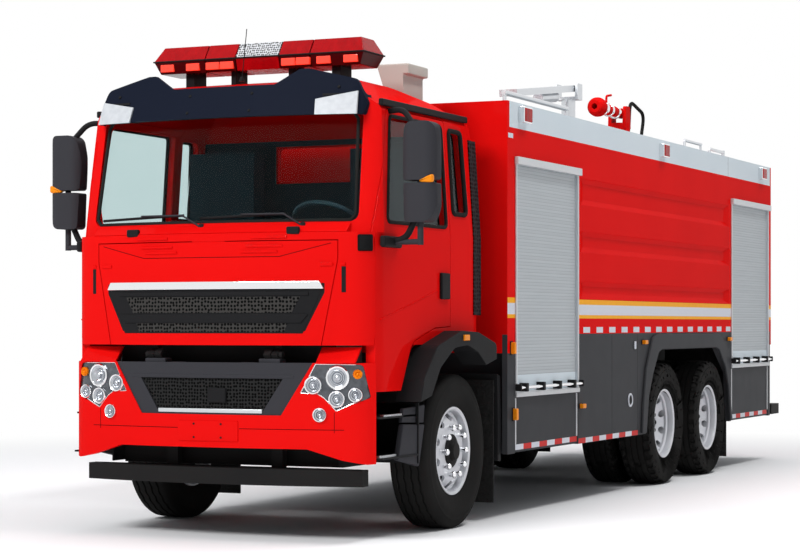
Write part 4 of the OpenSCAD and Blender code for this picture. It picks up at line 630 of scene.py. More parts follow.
# %% [markdown]
# ## Wheels
#
# A steel wheel is a rolled barrel with a pressed disc. On the front axle the disc bulges outwards, so its
# nuts stand near the lip. On the driven axles the outer wheel is turned round and looks like a deep bowl.
# Barrel and disc are spun sections; the hand holes are cut by a ring of rods with a Boolean modifier.

# %% Barrels, discs and nuts
BARREL = [(0.2875, 0.1068), (0.3015, 0.1072), (0.3020, 0.1150), (0.2985, 0.1168), (0.2890, 0.1160),
          (0.2790, 0.1085), (0.2750, 0.0900), (0.2740, 0.0600), (0.2600, 0.0480), (0.2590, 0.0100)]
FRONT_DISC = [(0.2640, 0.0320), (0.2640, 0.0440), (0.2580, 0.0520), (0.2380, 0.0740), (0.2180, 0.0920),
              (0.2040, 0.0985), (0.1900, 0.1000), (0.1150, 0.1000), (0.1150, 0.0880), (0.1880, 0.0870),
              (0.2080, 0.0800), (0.2300, 0.0620), (0.2480, 0.0400)]
BOWL_DISC = [(0.2640, 0.0320), (0.2640, 0.0200), (0.2520, 0.0120), (0.2200, -0.0060), (0.1850, -0.0260),
             (0.1640, -0.0340), (0.0880, -0.0360), (0.0880, -0.0240), (0.1640, -0.0220), (0.1850, -0.0140),
             (0.2200, 0.0080), (0.2480, 0.0260)]
HUB_FRONT = [(0.1140, 0.0880), (0.1140, 0.1040), (0.1040, 0.1100), (0.0700, 0.1130), (0.0640, 0.1330),
             (0.0560, 0.1400), (0.0010, 0.1410), (0.0010, 0.0880)]
DRUM_FRONT = [(0.1160, -0.030), (0.2320, -0.030), (0.2320, 0.030), (0.2140, 0.056), (0.1900, 0.070),
              (0.1160, 0.070)]
DRUM_REAR = [(0.1500, -0.045), (0.2580, -0.012), (0.2580, -0.004), (0.1500, -0.036)]
HUB_REAR = [(0.0870, -0.0360), (0.0870, 0.0100), (0.0800, 0.0160), (0.0620, 0.0180), (0.0600, 0.0420),
            (0.0540, 0.0480), (0.0010, 0.0490), (0.0010, -0.0360)]
HOLES, HOLE_RING, HOLE_RADIUS = 10, 0.236, 0.032
NUT_RADIUS, NUT_LENGTH = 0.0155, 0.030
NUT_CAP = [(0.001, 1.42), (0.013, 1.0), (0.006, 0.86), (0.005, 0.66), (0.002, 0.40)]
WHEEL_STEPS, HUB_STEPS = 72, 48
FACING_OUT, HUB_SET_IN = 0.9, 0.03


def round_wheel(count, ring, turn, rod):
    """Copies of a rod that stands over the hub, spread round the wheel."""
    copies = []
    for i in range(count):
        angle = 2 * math.pi * (i + turn) / count
        select_only(rod)
        bpy.ops.object.duplicate()
        copy = bpy.context.object
        copy.location = HUB_CENTRE + Vector((rod.location.x, ring * math.sin(angle), ring * math.cos(angle)))
        copy.rotation_euler = (-angle, 0, 0)
        bpy.ops.object.transform_apply(location=True, rotation=True, scale=True)
        copies.append(copy)
    bpy.data.objects.remove(rod)
    return joined(copies)


def lying_rod(radius, depth, across, sides):
    bpy.ops.object.select_all(action="DESELECT")
    bpy.ops.mesh.primitive_cylinder_add(vertices=sides, radius=radius, depth=depth, location=(0, 0, 0),
                                        rotation=(0, math.pi / 2, 0))
    rod = bpy.context.object
    bpy.ops.object.transform_apply(location=True, rotation=True, scale=True)
    rod.location = (across, 0, 0)
    return rod


def edit_outer_face(piece):
    """Opens the active piece for editing, with only the faces that look outwards selected."""
    bpy.ops.object.mode_set(mode="EDIT")
    cage = bmesh.from_edit_mesh(piece.data)
    for face in cage.faces:
        face.select_set(face.normal.x > FACING_OUT)
    bmesh.update_edit_mesh(piece.data)


def wheel_nuts(across, ring):
    """Capped nuts: the outer end of a rod swells into a cap and is drawn in to a dome."""
    nut = lying_rod(NUT_RADIUS, NUT_LENGTH, across + NUT_LENGTH / 2, 12)
    edit_outer_face(nut)
    for outwards, share in NUT_CAP:
        bpy.ops.mesh.extrude_region_move(TRANSFORM_OT_translate={"value": (outwards, 0, 0)})
        bpy.ops.transform.resize(value=(1, share, share), center_override=(across, 0, 0))
    bpy.ops.object.mode_set(mode="OBJECT")
    return round_wheel(HOLES, ring, 0.5, nut)


def pressed_disc(section):
    disc = spun(section, WHEEL_STEPS)
    holes = round_wheel(HOLES, HOLE_RING, 0, lying_rod(HOLE_RADIUS, 0.2, section[0][1], 24))
    cut = disc.modifiers.new("hand_holes", "BOOLEAN")
    cut.operation, cut.object, cut.solver = "DIFFERENCE", holes, "EXACT"
    apply_all(disc)
    bpy.data.objects.remove(holes)
    return disc


def smooth(piece, angle=35):
    select_only(piece)
    bpy.ops.object.shade_smooth_by_angle(angle=math.radians(angle))
    return piece


front_wheel = smooth(joined([spun(both_flanks(BARREL), WHEEL_STEPS), pressed_disc(FRONT_DISC)]))
front_nuts = smooth(wheel_nuts(0.1000, 0.1675))
front_hub = smooth(joined([spun(HUB_FRONT, HUB_STEPS), spun(DRUM_FRONT, HUB_STEPS)]))
twin_wheel = smooth(joined([spun(both_flanks(BARREL), WHEEL_STEPS), pressed_disc(BOWL_DISC)]))
twin_hub = smooth(joined([spun(HUB_REAR, HUB_STEPS), spun(DRUM_REAR, HUB_STEPS), wheel_nuts(-0.0200, 0.1125)]))
print("front wheel", len(front_wheel.data.polygons), "faces, twin wheel", len(twin_wheel.data.polygons))

# %% Place the wheels
for tyre_node, places in WHEEL_X.items():
    rim_node = tyre_node.replace("tyre", "rim")
    on_right = tyre_node.endswith("right")
    body, side = BODY_OF[rim_node], -1 if on_right else 1
    y = AXLE_Y[tyre_node]
    if len(places) == 1:
        wheel, hub, nuts = [copy_to(part, Vector((places[0], y, 0)), on_right)
                            for part in (front_wheel, front_hub, front_nuts)]
        settle(nuts, "nuts_" + rim_node, CHROME, body, "rim_metal")
    else:
        outside = max(places, key=abs)
        inside = min(places, key=abs)
        wheel = joined([copy_to(twin_wheel, Vector((outside, y, 0)), on_right),
                        copy_to(twin_wheel, Vector((inside, y, 0)), not on_right)])
        hub = copy_to(twin_hub, Vector((outside - side * HUB_SET_IN, y, 0)), on_right)
    settle(wheel, "wheel_" + rim_node, ALLOY, body, "rim_metal", rim_node)
    settle(hub, "hub_" + rim_node, BLACK_STEEL, body, "black_steel")
for part in (patterns["front"], patterns["mid"], front_wheel, front_nuts, front_hub, twin_wheel, twin_hub):
    bpy.data.objects.remove(part)

# %% [markdown]
# ## Helpers for fittings
#
# Nearly all fittings on a truck are rounded blocks, bent tubes, turned caps and strips that follow the bow
# of the front. One helper makes each kind. A strip could also be bent with a curve modifier, but cutting it
# across and setting every cut back by the bow keeps its ends and heights exact.

# %% Blocks, tubes, turned caps and bowed strips
BOW_SAG, BOW_HALF, BOW_SHADING = 0.105, 0.94, 35
SIDE = 1.25
PIN = 0.0005


def plain_box(low, high):
    """A box between two corners, its edges still sharp."""
    low, high = at(*low), at(*high)
    bpy.ops.object.select_all(action="DESELECT")
    bpy.ops.mesh.primitive_cube_add(size=1, location=(low + high) / 2)
    piece = bpy.context.object
    piece.scale = high - low
    bpy.ops.object.transform_apply(location=True, rotation=True, scale=True)
    return piece


def block(low, high, edge=0.004, segments=2):
    """A box between two corners with rounded edges."""
    piece = plain_box(low, high)
    roll_edges(piece, edge, segments)
    return piece


def prism(corners, across):
    """A filled outline, pushed across the truck."""
    bpy.ops.object.select_all(action="DESELECT")
    bpy.ops.mesh.primitive_circle_add(vertices=len(corners), fill_type="NGON", location=(0, 0, 0))
    piece = bpy.context.object
    for point, corner in zip(piece.data.vertices, corners):
        point.co = at(*corner)
    bpy.ops.object.mode_set(mode="EDIT")
    bpy.ops.mesh.select_all(action="SELECT")
    bpy.ops.mesh.extrude_region_move(TRANSFORM_OT_translate={"value": (across, 0, 0)})
    bpy.ops.mesh.select_all(action="SELECT")
    bpy.ops.mesh.normals_make_consistent(inside=False)
    bpy.ops.object.mode_set(mode="OBJECT")
    return piece


def bent(points, radius, steps=6):
    """The same line with its corners rounded."""
    points = [Vector(p) for p in points]
    line = [points[0]]
    for before, corner, after in zip(points, points[1:], points[2:]):
        start = corner + (before - corner).normalized() * radius
        stop = corner + (after - corner).normalized() * radius
        for i in range(steps + 1):
            t = i / steps
            line.append((1 - t) ** 2 * start + 2 * t * (1 - t) * corner + t ** 2 * stop)
    return line + [points[-1]]


def tube(points, radius, closed=False):
    """A round tube along a line, drawn as a curve and turned into a mesh."""
    bpy.ops.object.select_all(action="DESELECT")
    bpy.ops.curve.primitive_nurbs_path_add()
    path = bpy.context.object
    path.data.splines.clear()
    line = path.data.splines.new("POLY")
    line.points.add(len(points) - 1)
    for knot, point in zip(line.points, points):
        knot.co = (*at(*point), 1)
    line.use_cyclic_u = closed
    path.data.bevel_depth, path.data.bevel_resolution = radius, 3
    path.data.use_fill_caps = True
    bpy.ops.object.convert(target="MESH")
    return smooth(bpy.context.object, 50)


def turned(section, place, axis=(1, 0, 0), steps=28):
    """A cap or ring turned about its own axis; the section is a closed loop of (radius, along)."""
    ring = turned_loop([(radius, 0, along) for radius, along in section], steps, (0, 0, 0), (0, 0, 1))
    ring.rotation_euler = Vector(axis).to_track_quat("Z", "Y").to_euler()
    ring.location = at(*place)
    bpy.ops.object.transform_apply(location=True, rotation=True, scale=True)
    return smooth(ring)


def tapered(piece, low_share, high_share=1.0):
    """Draws the lower and upper ends of a piece in towards the middle plane."""
    heights = [v.co.z for v in piece.data.vertices]
    low, tall = min(heights), max(heights) - min(heights)
    for point in piece.data.vertices:
        point.co.x *= low_share + (high_share - low_share) * (point.co.z - low) / tall
    return piece


def laid(piece, surface, cuts=8):
    """Cuts a straight piece across and moves every point back by what a surface gives for it."""
    places = [v.co.x for v in piece.data.vertices]
    low, wide = min(places), max(places) - min(places)
    select_only(piece)
    bpy.ops.object.mode_set(mode="EDIT")
    for i in range(1, cuts):
        bpy.ops.mesh.select_all(action="SELECT")
        bpy.ops.mesh.bisect(plane_co=(low + wide * i / cuts, 0, 0), plane_no=(1, 0, 0))
    bpy.ops.object.mode_set(mode="OBJECT")
    for point in piece.data.vertices:
        point.co.y += surface(point.co.x, point.co.z)
    return even_shading(piece, BOW_SHADING)


def bow(x, z=0.0):
    """How far the bowed front lies back at a place across, the same at every height."""
    return BOW_SAG * (x / BOW_HALF) ** 2


def bowed(piece, cuts=14):
    """A straight piece that takes the bow of the front."""
    return laid(piece, bow, cuts)


def other_side(piece):
    """The same piece on the other side of the middle plane, its faces turned outwards again."""
    select_only(piece)
    bpy.ops.object.duplicate()
    copy = bpy.context.object
    copy.scale.x = -1
    bpy.ops.object.transform_apply(location=True, rotation=True, scale=True)
    bpy.ops.object.mode_set(mode="EDIT")
    bpy.ops.mesh.select_all(action="SELECT")
    bpy.ops.mesh.normals_make_consistent(inside=False)
    bpy.ops.object.mode_set(mode="OBJECT")
    return even_shading(copy, BOW_SHADING) if copy.data.has_custom_normals else copy


def both_sides(pieces):
    """One piece from several and their mirror images."""
    return joined(pieces + [other_side(piece) for piece in pieces])


def settle_pair(pieces, name, look, body, slot, *replaced):
    """Settles pieces of the left side and their mirror images as one piece."""
    settle(both_sides(pieces), name, look, body, slot, *replaced)


def settle_left_right(piece, name, look, body, slot):
    """Settles a piece and its mirror image apart, each on the body of its own side."""
    settle(other_side(piece), f"{name}_right", look, f"{body}_right", slot)
    settle(piece, f"{name}_left", look, f"{body}_left", slot)


# %% [markdown]
# ## Tapes on the body
#
# The yellow and white band, the row of white squares and the red and white marking along the lower edge are
# tape: strips less than a millimetre thick, laid on the panels. The band skips the roller shutters. The
# marking on the folding steps moves with them, so each step carries its own strips.

# %% Band and squares
TAPE = 0.0008


def strip(y, z, face=SIDE):
    return block((face, y[0], z[0]), (face + TAPE, y[1], z[1]), 0.0002, 1)


BAND_RUNS = [(0.722, 0.866), (2.224, 6.576), (7.972, 8.078)]
settle_pair([strip(run, (1.469, 1.550)) for run in BAND_RUNS], "white_band", WHITE_TAPE, "chassis",
            "pale_paint")
settle_pair([strip(run, z) for run in BAND_RUNS for z in ((1.550, 1.589), (1.442, 1.469))], "yellow_band",
            YELLOW_TAPE, "chassis", "marker_lens")
SQUARES, SQUARE_PITCH = 14, 0.3125
squares = [strip((2.342 + SQUARE_PITCH * i, 2.497 + SQUARE_PITCH * i), (1.330, 1.375)) for i in range(SQUARES)]
settle_pair(squares, "white_squares", WHITE_TAPE, "chassis", "pale_paint")
print(len(BAND_RUNS), "band runs and", len(squares), "squares a side")

# %% Marking along the lower edge
MARK, FLAP_FACE = 0.1640, 1.2442


def marking(first, count, z, face, start_white):
    """Red strips and white strips by turns."""
    strips = [strip((first + MARK * i, first + MARK * (i + 1)), z, face) for i in range(count)]
    return strips[1 - start_white::2], strips[start_white::2]


white, red = marking(2.230, 9, (0.470, 0.510), SIDE, False)
settle_pair(white, "skirt_marks_white", WHITE_TAPE, "chassis", "pale_paint")
settle_pair(red, "skirt_marks_red", RED_TAPE, "chassis", "red_lens")
for step, first, last, top in (("front", 0.888, 2.216, 0.865), ("rear", 6.612, 7.967, 0.970)):
    white, red = marking(first, 8, (0.490, 0.530), FLAP_FACE, True)
    for colour, look, slot, strips in (("white", WHITE_TAPE, "pale_paint", white),
                                       ("red", RED_TAPE, "red_lens", red)):
        settle_left_right(joined(strips), f"{colour}_marks_{step}", look, f"flap_{step}", slot)
    edges = [block((1.242, y, 0.532), (1.250, y + 0.018, top), 0.002) for y in (first - 0.010, last - 0.032)]
    settle_left_right(joined(edges), f"step_edges_{step}", BRIGHT_PROFILE, f"flap_{step}", "alloy")
print("marks are", MARK, "m long")

# %% [markdown]
# ## Fittings of the roller shutters
#
# A roller shutter runs in side channels under a drip header. Its lowest slat is a taller, paler profile with
# a grab tube on four black clips. Below it lies a sill. All of these are plain extrusions, so rounded blocks
# and one straight tube do.

# %% Headers, sills and grab tubes
SHUTTERS = {"front": (0.869, 2.216, 0.880), "rear": (6.582, 7.967, 0.985)}
headers, sills, clips, tubes, end_slats, channels = [], [], [], [], [], []
for y0, y1, low in SHUTTERS.values():
    headers.append(block((SIDE, y0 - 0.012, 2.548), (1.284, y1 + 0.012, 2.604), 0.006))
    sills.append(block((SIDE, y0, low - 0.008), (1.268, y1, low + 0.026), 0.004))
    end_slats.append(block((1.226, y0 + 0.034, low + 0.034), (1.2425, y1 - 0.034, low + 0.150), 0.003))
    tubes.append(tube([(1.284, y0 - 0.004, low + 0.060), (1.284, y1 + 0.010, low + 0.060)], 0.013))
    for share in (0.10, 0.36, 0.62, 0.86):
        y = y0 + share * (y1 - y0)
        clips.append(block((1.238, y - 0.030, low + 0.030), (1.302, y + 0.018, low + 0.092), 0.006))
    for y in (y0 - 0.006, y1 - 0.014):
        clips.append(block((1.252, y, low + 0.036), (1.300, y + 0.026, low + 0.086), 0.006))
    channels += [block((SIDE, y, low), (1.262, y + 0.020, 2.555), 0.003) for y in (y0 + 0.004, y1 - 0.024)]
settle_pair(headers + sills, "shutter_headers", BRIGHT_PROFILE, "chassis", "alloy")
settle_pair(channels, "shutter_channels", BRIGHT_PROFILE, "chassis", "alloy")
settle_pair(end_slats, "shutter_end_slats", PALE, "chassis", "pale_paint")
settle_pair(tubes, "shutter_grab_tubes", CHROME, "chassis", "rim_metal")
settle_pair(clips, "shutter_clips", BLACK_PLASTIC, "chassis", "dark_plastic")
print(len(headers), "shutters a side,", len(clips), "clips a side")

# %% Flat slats
SLAT_FACE, SLAT_VALLEY = 1.238, 1.231
slats = welded_copy("roller_shutters")
for point in slats.data.vertices:
    if abs(point.co.x) > SLAT_VALLEY - 0.0005:
        flat = SLAT_FACE - (SLAT_FACE - abs(point.co.x)) * 0.25
        point.co.x = math.copysign(flat, point.co.x)
settle(slats, "flat_slats", SHUTTER, "chassis", "alloy", "roller_shutters")
print("slats of", len(slats.data.polygons), "faces")

# %% [markdown]
# ## Lamps and small fittings of the body
#
# A marker lamp is a lens in a bright bezel. The lens is a block with a generous round, a little smaller than
# its bezel. The square red lamps sit on the pale parapet, the small amber ones on the dark lower panels.

# %% Marker lamps
RED_PLACES = [(1.020, 2.912), (4.376, 2.900), (7.660, 2.908)]
AMBER_PLACES = [(2.273, 0.761), (3.848, 1.246), (6.475, 1.256)]
UPRIGHT_PLACES = [(0.790, 1.226), (0.830, 0.751)]


def lamp(y, z, long, tall, depth):
    """A bezel and its lens on the side of the body."""
    bezel = block((SIDE, y - long / 2, z - tall / 2), (SIDE + depth, y + long / 2, z + tall / 2), 0.004)
    lens = block((SIDE + depth / 2, y - long * 0.43, z - tall * 0.42),
                 (SIDE + max(0.038, depth + 0.006), y + long * 0.43, z + tall * 0.42), 0.007, 3)
    return bezel, lens


red_lamps = [lamp(y, z, 0.160, 0.118, 0.048) for y, z in RED_PLACES]
amber_lamps = [lamp(y, z, 0.090, 0.042, 0.008) for y, z in AMBER_PLACES]
amber_lamps += [lamp(y, z, 0.048, 0.100, 0.008) for y, z in UPRIGHT_PLACES]
settle_pair([bezel for bezel, lens in red_lamps], "red_lamp_bezels", CHROME, "chassis", "rim_metal",
            "marker_lamps")
settle_pair([lens for bezel, lens in red_lamps], "red_lamp_lenses", RED_LENS, "chassis", "red_lens")
settle_pair([bezel for bezel, lens in amber_lamps], "amber_lamp_bases", BLACK_PLASTIC, "chassis",
            "dark_plastic")
settle_pair([lens for bezel, lens in amber_lamps], "amber_lamp_lenses", AMBER, "chassis", "marker_lens")
print(len(red_lamps) + len(amber_lamps), "lamps a side")

# %% Tail lamps
REAR = 8.080
tail_frame = block((1.045, REAR, 1.275), (1.185, REAR + 0.016, 1.705), 0.008)
tail_red = [block((1.055, REAR + 0.010, z), (1.175, REAR + 0.034, z + 0.130), 0.010, 3) for z in (1.285, 1.565)]
tail_amber = [block((1.055, REAR + 0.010, 1.425), (1.175, REAR + 0.034, 1.555), 0.010, 3)]
settle_pair([tail_frame], "tail_lamp_frames", BLACK_PLASTIC, "chassis", "dark_plastic")
settle_pair(tail_red, "tail_lamps_red", RED_LENS, "chassis", "red_lens")
settle_pair(tail_amber, "tail_lamps_amber", AMBER, "chassis", "marker_lens")
print("tail lamps", len(tail_red) + len(tail_amber), "a side")

# %% Latch, filler ring and parapet seam
latch = block((SIDE, 3.600, 1.190), (1.262, 3.640, 1.255), 0.006, 3)
ring_section = [(0.040, 0.0), (0.056, 0.0), (0.058, 0.006), (0.050, 0.011), (0.042, 0.008)]
filler_ring = turned(ring_section, (SIDE, 3.500, 0.768))
filler_cap = turned([(PIN, 0.0), (0.040, 0.0), (0.038, 0.006), (0.012, 0.009), (PIN, 0.009)],
                    (SIDE, 3.500, 0.768))
seams = [block((SIDE, y, z0), (SIDE + 0.0006, y + 0.004, z1), 0.0002, 1)
         for y, z0, z1 in ((6.478, 2.812, 2.992), (3.702, 0.520, 1.320), (2.232, 0.520, 1.320))]
settle_pair([latch, filler_ring], "latch_and_filler_ring", WHITE_TAPE, "chassis", "pale_paint")
settle_pair([filler_cap], "filler_cap", BLACK_PLASTIC, "chassis", "dark_plastic")
settle_pair(seams, "panel_seams", BLACK_PLASTIC, "chassis", "dark_plastic")
settle_pair([strip((0.721, 0.867), (1.190, 1.324))], "front_post_paint", RED, "chassis", "red_paint")
settle_pair([strip((0.735, 0.830), (2.732, 2.766))], "blank_plate", WHITE_TAPE, "chassis", "pale_paint")
print("small fittings done")

# %% [markdown]
# ## The front below the windscreen
#
# The front is one gentle bow, so everything on it is a straight block first and takes the bow afterwards. The
# pieces on the lid ride the lid, because it lifts. Louvres, seams and the bright bar could be a texture, but
# real ridges catch the light along their upper edges, and that line is what the eye looks for.

# %% Bow of the front
BUMPER_FACE, LID_FACE, PAD_FACE = -1.400, -1.395, -1.4085


def front_strip(x, z, face, proud, depth=0.010, edge=0.002):
    """A bowed strip on the front, between two places across and two heights."""
    return bowed(block((x[0], face - proud, z[0]), (x[1], face - proud + depth, z[1]), edge))


def on_front(x, face):
    """How far along the truck the bowed front lies at a place across."""
    return face + bow(x)


pad = front_strip((-0.221, 0.221), (0.641, 0.773), BUMPER_FACE, 0.008, 0.016, 0.004)
settle(pad, "number_plate_pad", RED, "chassis", "red_paint")
# Black discs for the screw holes of the plate pad: painted shade of the holes.
holes = [turned([(PIN, 0), (0.007, 0), (0.007, 0.003), (PIN, 0.003)], (x, on_front(x, PAD_FACE), z), (0, -1, 0),
                12)
         for x in (-0.10, 0.10) for z in (0.665, 0.752)]
settle(joined(holes), "plate_hole_shade", BLACK_PLASTIC, "chassis", "dark_plastic")
bumper_seams = [front_strip((0.228, 0.930), (0.7225, 0.7265), BUMPER_FACE, 0.0006, 0.004, 0.0002),
                block((0.8665, on_front(0.868, BUMPER_FACE) - 0.001, 0.705), (0.8695, -1.300, 0.836), 0.0002,
                      1)]
settle_pair(bumper_seams, "bumper_seams", SEAM_AND_CREASE_SHADE, "chassis", "dark_plastic")
print("bumper dressed")

# %% [markdown]
# ## Headlamps
#
# Each headlamp is a dark bowl with four round units and an amber one, and a round lamp sits below it. A unit
# is a turned ring and a mirror with a bulb cap. Turning one section does it; only radius and place differ.

# %% Headlamp units
LAMP_UNITS = [(0.886, 1.057, 0.078), (0.728, 1.008, 0.060), (0.881, 0.921, 0.056), (1.000, 0.948, 0.048)]
LAMP_FACE = -1.392
LOW_LAMP = (0.775, 0.820, 0.048, BUMPER_FACE)
RING = [(0.80, -0.004), (1.0, -0.004), (1.0, 0.010), (0.93, 0.016), (0.82, 0.012)]
MIRROR = [(0.0, -0.004), (0.84, -0.004), (0.84, 0.010), (0.70, 0.003), (0.63, 0.003), (0.57, 0.011),
          (0.50, 0.011), (0.40, 0.002), (0.28, 0.000), (0.24, 0.010), (0.14, 0.016), (0.0, 0.018)]


def lamp_part(section, x, z, radius, face=LAMP_FACE):
    """A turned part that looks out square to the bowed front; its section is in shares of its radius."""
    slope = 2 * BOW_SAG * x / BOW_HALF ** 2
    loop = [(max(PIN, radius * share), along) for share, along in section]
    return turned(loop, (x, on_front(x, face), z), (slope, -1, 0))


rings = [lamp_part(RING, *unit) for unit in LAMP_UNITS + [LOW_LAMP]]
mirrors = [lamp_part(MIRROR, *unit) for unit in LAMP_UNITS + [LOW_LAMP]]
settle_pair(rings, "lamp_rings", CHROME, "chassis", "rim_metal")
settle_pair(mirrors, "lamp_mirrors", LAMP_GLASS, "chassis", "lamp_glass")
amber_unit = [lamp_part(MIRROR, 1.014, 1.080, 0.036)]
settle_pair(amber_unit, "turn_lamps", AMBER, "chassis", "marker_lens")
print(len(rings), "round lamps a side")

# %% [markdown]
# ## The two grilles
#
# Both grilles are dark frames with perforated sheet in them. The holes are far too many to cut, so the sheet
# is a thin plate and its finish draws the holes in painted shade. A bright bar closes the upper grille, a
# bright sill the lower one, and a sensor box looks out of the lower one.

# %% Lower grille
lower_mesh = tapered(block((-0.520, -1.3835, 0.836), (0.520, -1.3805, 1.046), 0.0008, 1), 0.74)
# The lower mesh takes the darker sheet, painted shade of its recess.
settle(bowed(lower_mesh), "lower_mesh", RECESS_SHADE_MESH, "chassis", "dark_plastic")
settle(front_strip((-0.384, 0.384), (0.824, 0.850), -1.392, 0.004, 0.020, 0.004), "lower_sill", SILVER,
       "chassis", "alloy")
settle(block((-0.005, -1.402, 0.890), (0.130, -1.376, 0.985), 0.010, 3), "sensor_box", BLACK_PLASTIC, "chassis",
       "dark_plastic")
valance = front_strip((-0.60, 0.60), (1.048, 1.072), -1.392, 0.003, 0.02, 0.004)
settle(valance, "grille_top_trim", GREY_PLASTIC, "chassis", "dark_plastic")
print("lower grille dressed")

# %% Upper grille
cover = tapered(block((-0.790, -1.3975, 1.338), (0.790, -1.3890, 1.632), 0.002), 0.835)
settle(bowed(cover), "grille_cover", BLACK_PLASTIC, "front_lid", "dark_plastic")
meshes = [bowed(tapered(block((-0.645, -1.3990, 1.470), (0.645, -1.3960, 1.574), 0.001, 1), 0.91)),
          bowed(tapered(block((-0.560, -1.3990, 1.346), (0.560, -1.3960, 1.404), 0.001, 1), 0.96))]
settle(joined(meshes), "upper_meshes", MESH, "front_lid", "dark_plastic")
lips = [bowed(tapered(block((-0.70, -1.4045, 1.405), (0.70, -1.3950, 1.462), 0.004), 0.93)),
        bowed(block((-0.70, -1.4045, 1.580), (0.70, -1.3950, 1.604), 0.003))]
settle(joined(lips), "grille_lips", BLACK_PLASTIC, "front_lid", "dark_plastic")
bright_bar = bowed(tapered(block((-0.803, -1.4130, 1.622), (0.803, -1.3920, 1.674), 0.007, 3), 1.0, 0.965), 18)
settle(bright_bar, "bright_bar", CHROME, "front_lid", "rim_metal")
print("upper grille dressed")

# %% Louvres and wiper caps
RIBS = [((0.307, 0.555), 1.957, "cab"), ((0.271, 0.526), 1.901, "front_lid"),
        ((0.234, 0.491), 1.865, "front_lid")]
for i, (x, z, body) in enumerate(RIBS):
    rib = front_strip(x, (z - 0.009, z + 0.007), LID_FACE, 0.009, 0.012, 0.004)
    settle_pair([rib], f"louvre_{i + 1}", RED, body, "red_paint")
caps = [block((0.548, on_front(0.6, LID_FACE) - 0.010, 1.972), (0.638, on_front(0.6, LID_FACE) + 0.02, 2.022),
              0.010, 3)]
settle_pair(caps, "wiper_caps", BLACK_PLASTIC, "cab", "dark_plastic")
print(2 * len(RIBS), "louvres")

# %% [markdown]
# ## Windscreen seal and wipers
#
# A rubber seal runs round the opening of the windscreen. It is a tube on a closed line that follows the bow
# and the lean of the screen. The wipers lie on the glass: a blade, a thin arm and a pivot each.

# %% Windscreen seal
SCREEN_FACE, SCREEN_LOW, SCREEN_LEAN = -1.315, 2.055, math.tan(math.radians(10))


def on_screen(x, z, inward=0.0):
    """A point on the leaning, bowed windscreen."""
    return (x, SCREEN_FACE + bow(x) + (z - SCREEN_LOW) * SCREEN_LEAN + inward, z)


seal_low = [on_screen(-0.93 + 1.86 * i / 24, 2.062, 0.008) for i in range(25)]
seal_top = [on_screen(0.90 - 1.80 * i / 24, 2.762, 0.008) for i in range(25)]
seal_right = [on_screen(0.962 - 0.030 * t, 2.10 + 0.62 * t, 0.008) for t in (0, 0.5, 1)]
seal_left = [on_screen(-0.932 - 0.030 * t, 2.72 - 0.62 * t, 0.008) for t in (0, 0.5, 1)]
settle(tube(seal_low + seal_right + seal_top + seal_left, 0.012, True), "windscreen_seal", RUBBER, "cab",
       "rubber")
print("seal of", len(seal_low) * 2 + 6, "points")

# %% Wipers
WIPERS = [((-0.088, 2.030), (-0.236, 2.110), (-0.900, -0.235, 2.090)),
          ((0.629, 2.030), (0.500, 2.108), (-0.105, 0.505, 2.088))]
blades, arms = [], []
for (pivot_x, pivot_z), (knee_x, knee_z), (blade_from, blade_to, blade_z) in WIPERS:
    steps = [blade_from + (blade_to - blade_from) * i / 8 for i in range(9)]
    blades.append(tube([on_screen(x, blade_z + 0.02 * i / 8, -0.004) for i, x in enumerate(steps)], 0.009))
    blades.append(turned([(PIN, 0), (0.024, 0), (0.022, 0.022), (PIN, 0.026)], on_screen(pivot_x, pivot_z, 0.0),
                         (0, -1, 0), 16))
    middle = (blade_from + blade_to) / 2
    arms.append(tube([on_screen(pivot_x, pivot_z, -0.020), on_screen(knee_x, knee_z, -0.026),
                      on_screen(middle, blade_z + 0.022, -0.018)], 0.006))
settle(joined(blades), "wiper_blades", BLACK_PLASTIC, "cab", "rubber")
settle(joined(arms), "wiper_arms", GREY_PLASTIC, "cab", "dark_plastic")
print(len(WIPERS), "wipers")

# %% [markdown]
# ## Cowl and visor
#
# Under the windscreen a red cowl covers the ledge. The sun visor leans and is bowed as well, so its lamps,
# slots and screws are laid onto it: each starts as a thin block and every point takes the visor's place.

# %% Cowl and visor fittings
VISOR_FACE, VISOR_LOW, VISOR_LEAN = -1.290, 2.742, math.tan(math.radians(20))


def visor_place(x, z):
    """How far along the truck the leaning, bowed visor lies."""
    return VISOR_FACE + bow(x) + (z - VISOR_LOW) * VISOR_LEAN


cowl = block((-0.940, -1.388, 1.986), (0.940, -1.312, 2.046), 0.004)
for point in cowl.data.vertices:
    if point.co.z > 2.02:
        point.co.y = max(point.co.y, at(0, -1.330, 0).y)
settle(bowed(cowl, 18), "windscreen_cowl", RED, "cab", "red_paint")
lamps = [laid(tapered(block((0.690, -0.010, VISOR_LOW), (0.965, 0.006, 2.850), 0.003), 1.0, 0.985),
              visor_place)]
for point in lamps[0].data.vertices:
    if point.co.z > 2.80:
        shift = 0.045 * (point.co.x - 0.700) / 0.25
        point.co.z += shift
        point.co.y += shift * VISOR_LEAN
settle_pair(lamps, "visor_lamps", VISOR_LAMP, "cab", "lamp_glass")
slots = [laid(block((0.720, -0.003, 2.868), (0.940, 0.004, 2.882), 0.001, 1), visor_place)]
settle_pair(slots, "visor_slots", BLACK_PLASTIC, "cab", "dark_plastic")
screws = [turned([(PIN, 0), (0.011, 0), (0.008, 0.006), (PIN, 0.007)], (x, visor_place(x, z), z),
                 (0, -0.94, 0.34), 14)
          for x, z in ((0.23, 2.900), (0.23, 2.785), (0.82, 2.925))]
settle_pair(screws, "visor_screws", BLACK_PLASTIC, "cab", "dark_plastic")
print("visor dressed")

# %% [markdown]
# ## Sides of the cab
#
# The windows sit in black rubber. Each seal is a tube that follows the outline of its opening on the leaning
# flank. A drip rail runs over the doors, a grip sits near the rear edge of each door, and a crease runs from
# the front wheel arch upwards. The mirror arms leave the door at a bracket and at the top of its frame.

# %% Window seals and drip rails
FLANK_X, FLANK_LEAN, WAIST_Z, FLANK_TALL = 1.120, 0.052, 2.0, 0.8


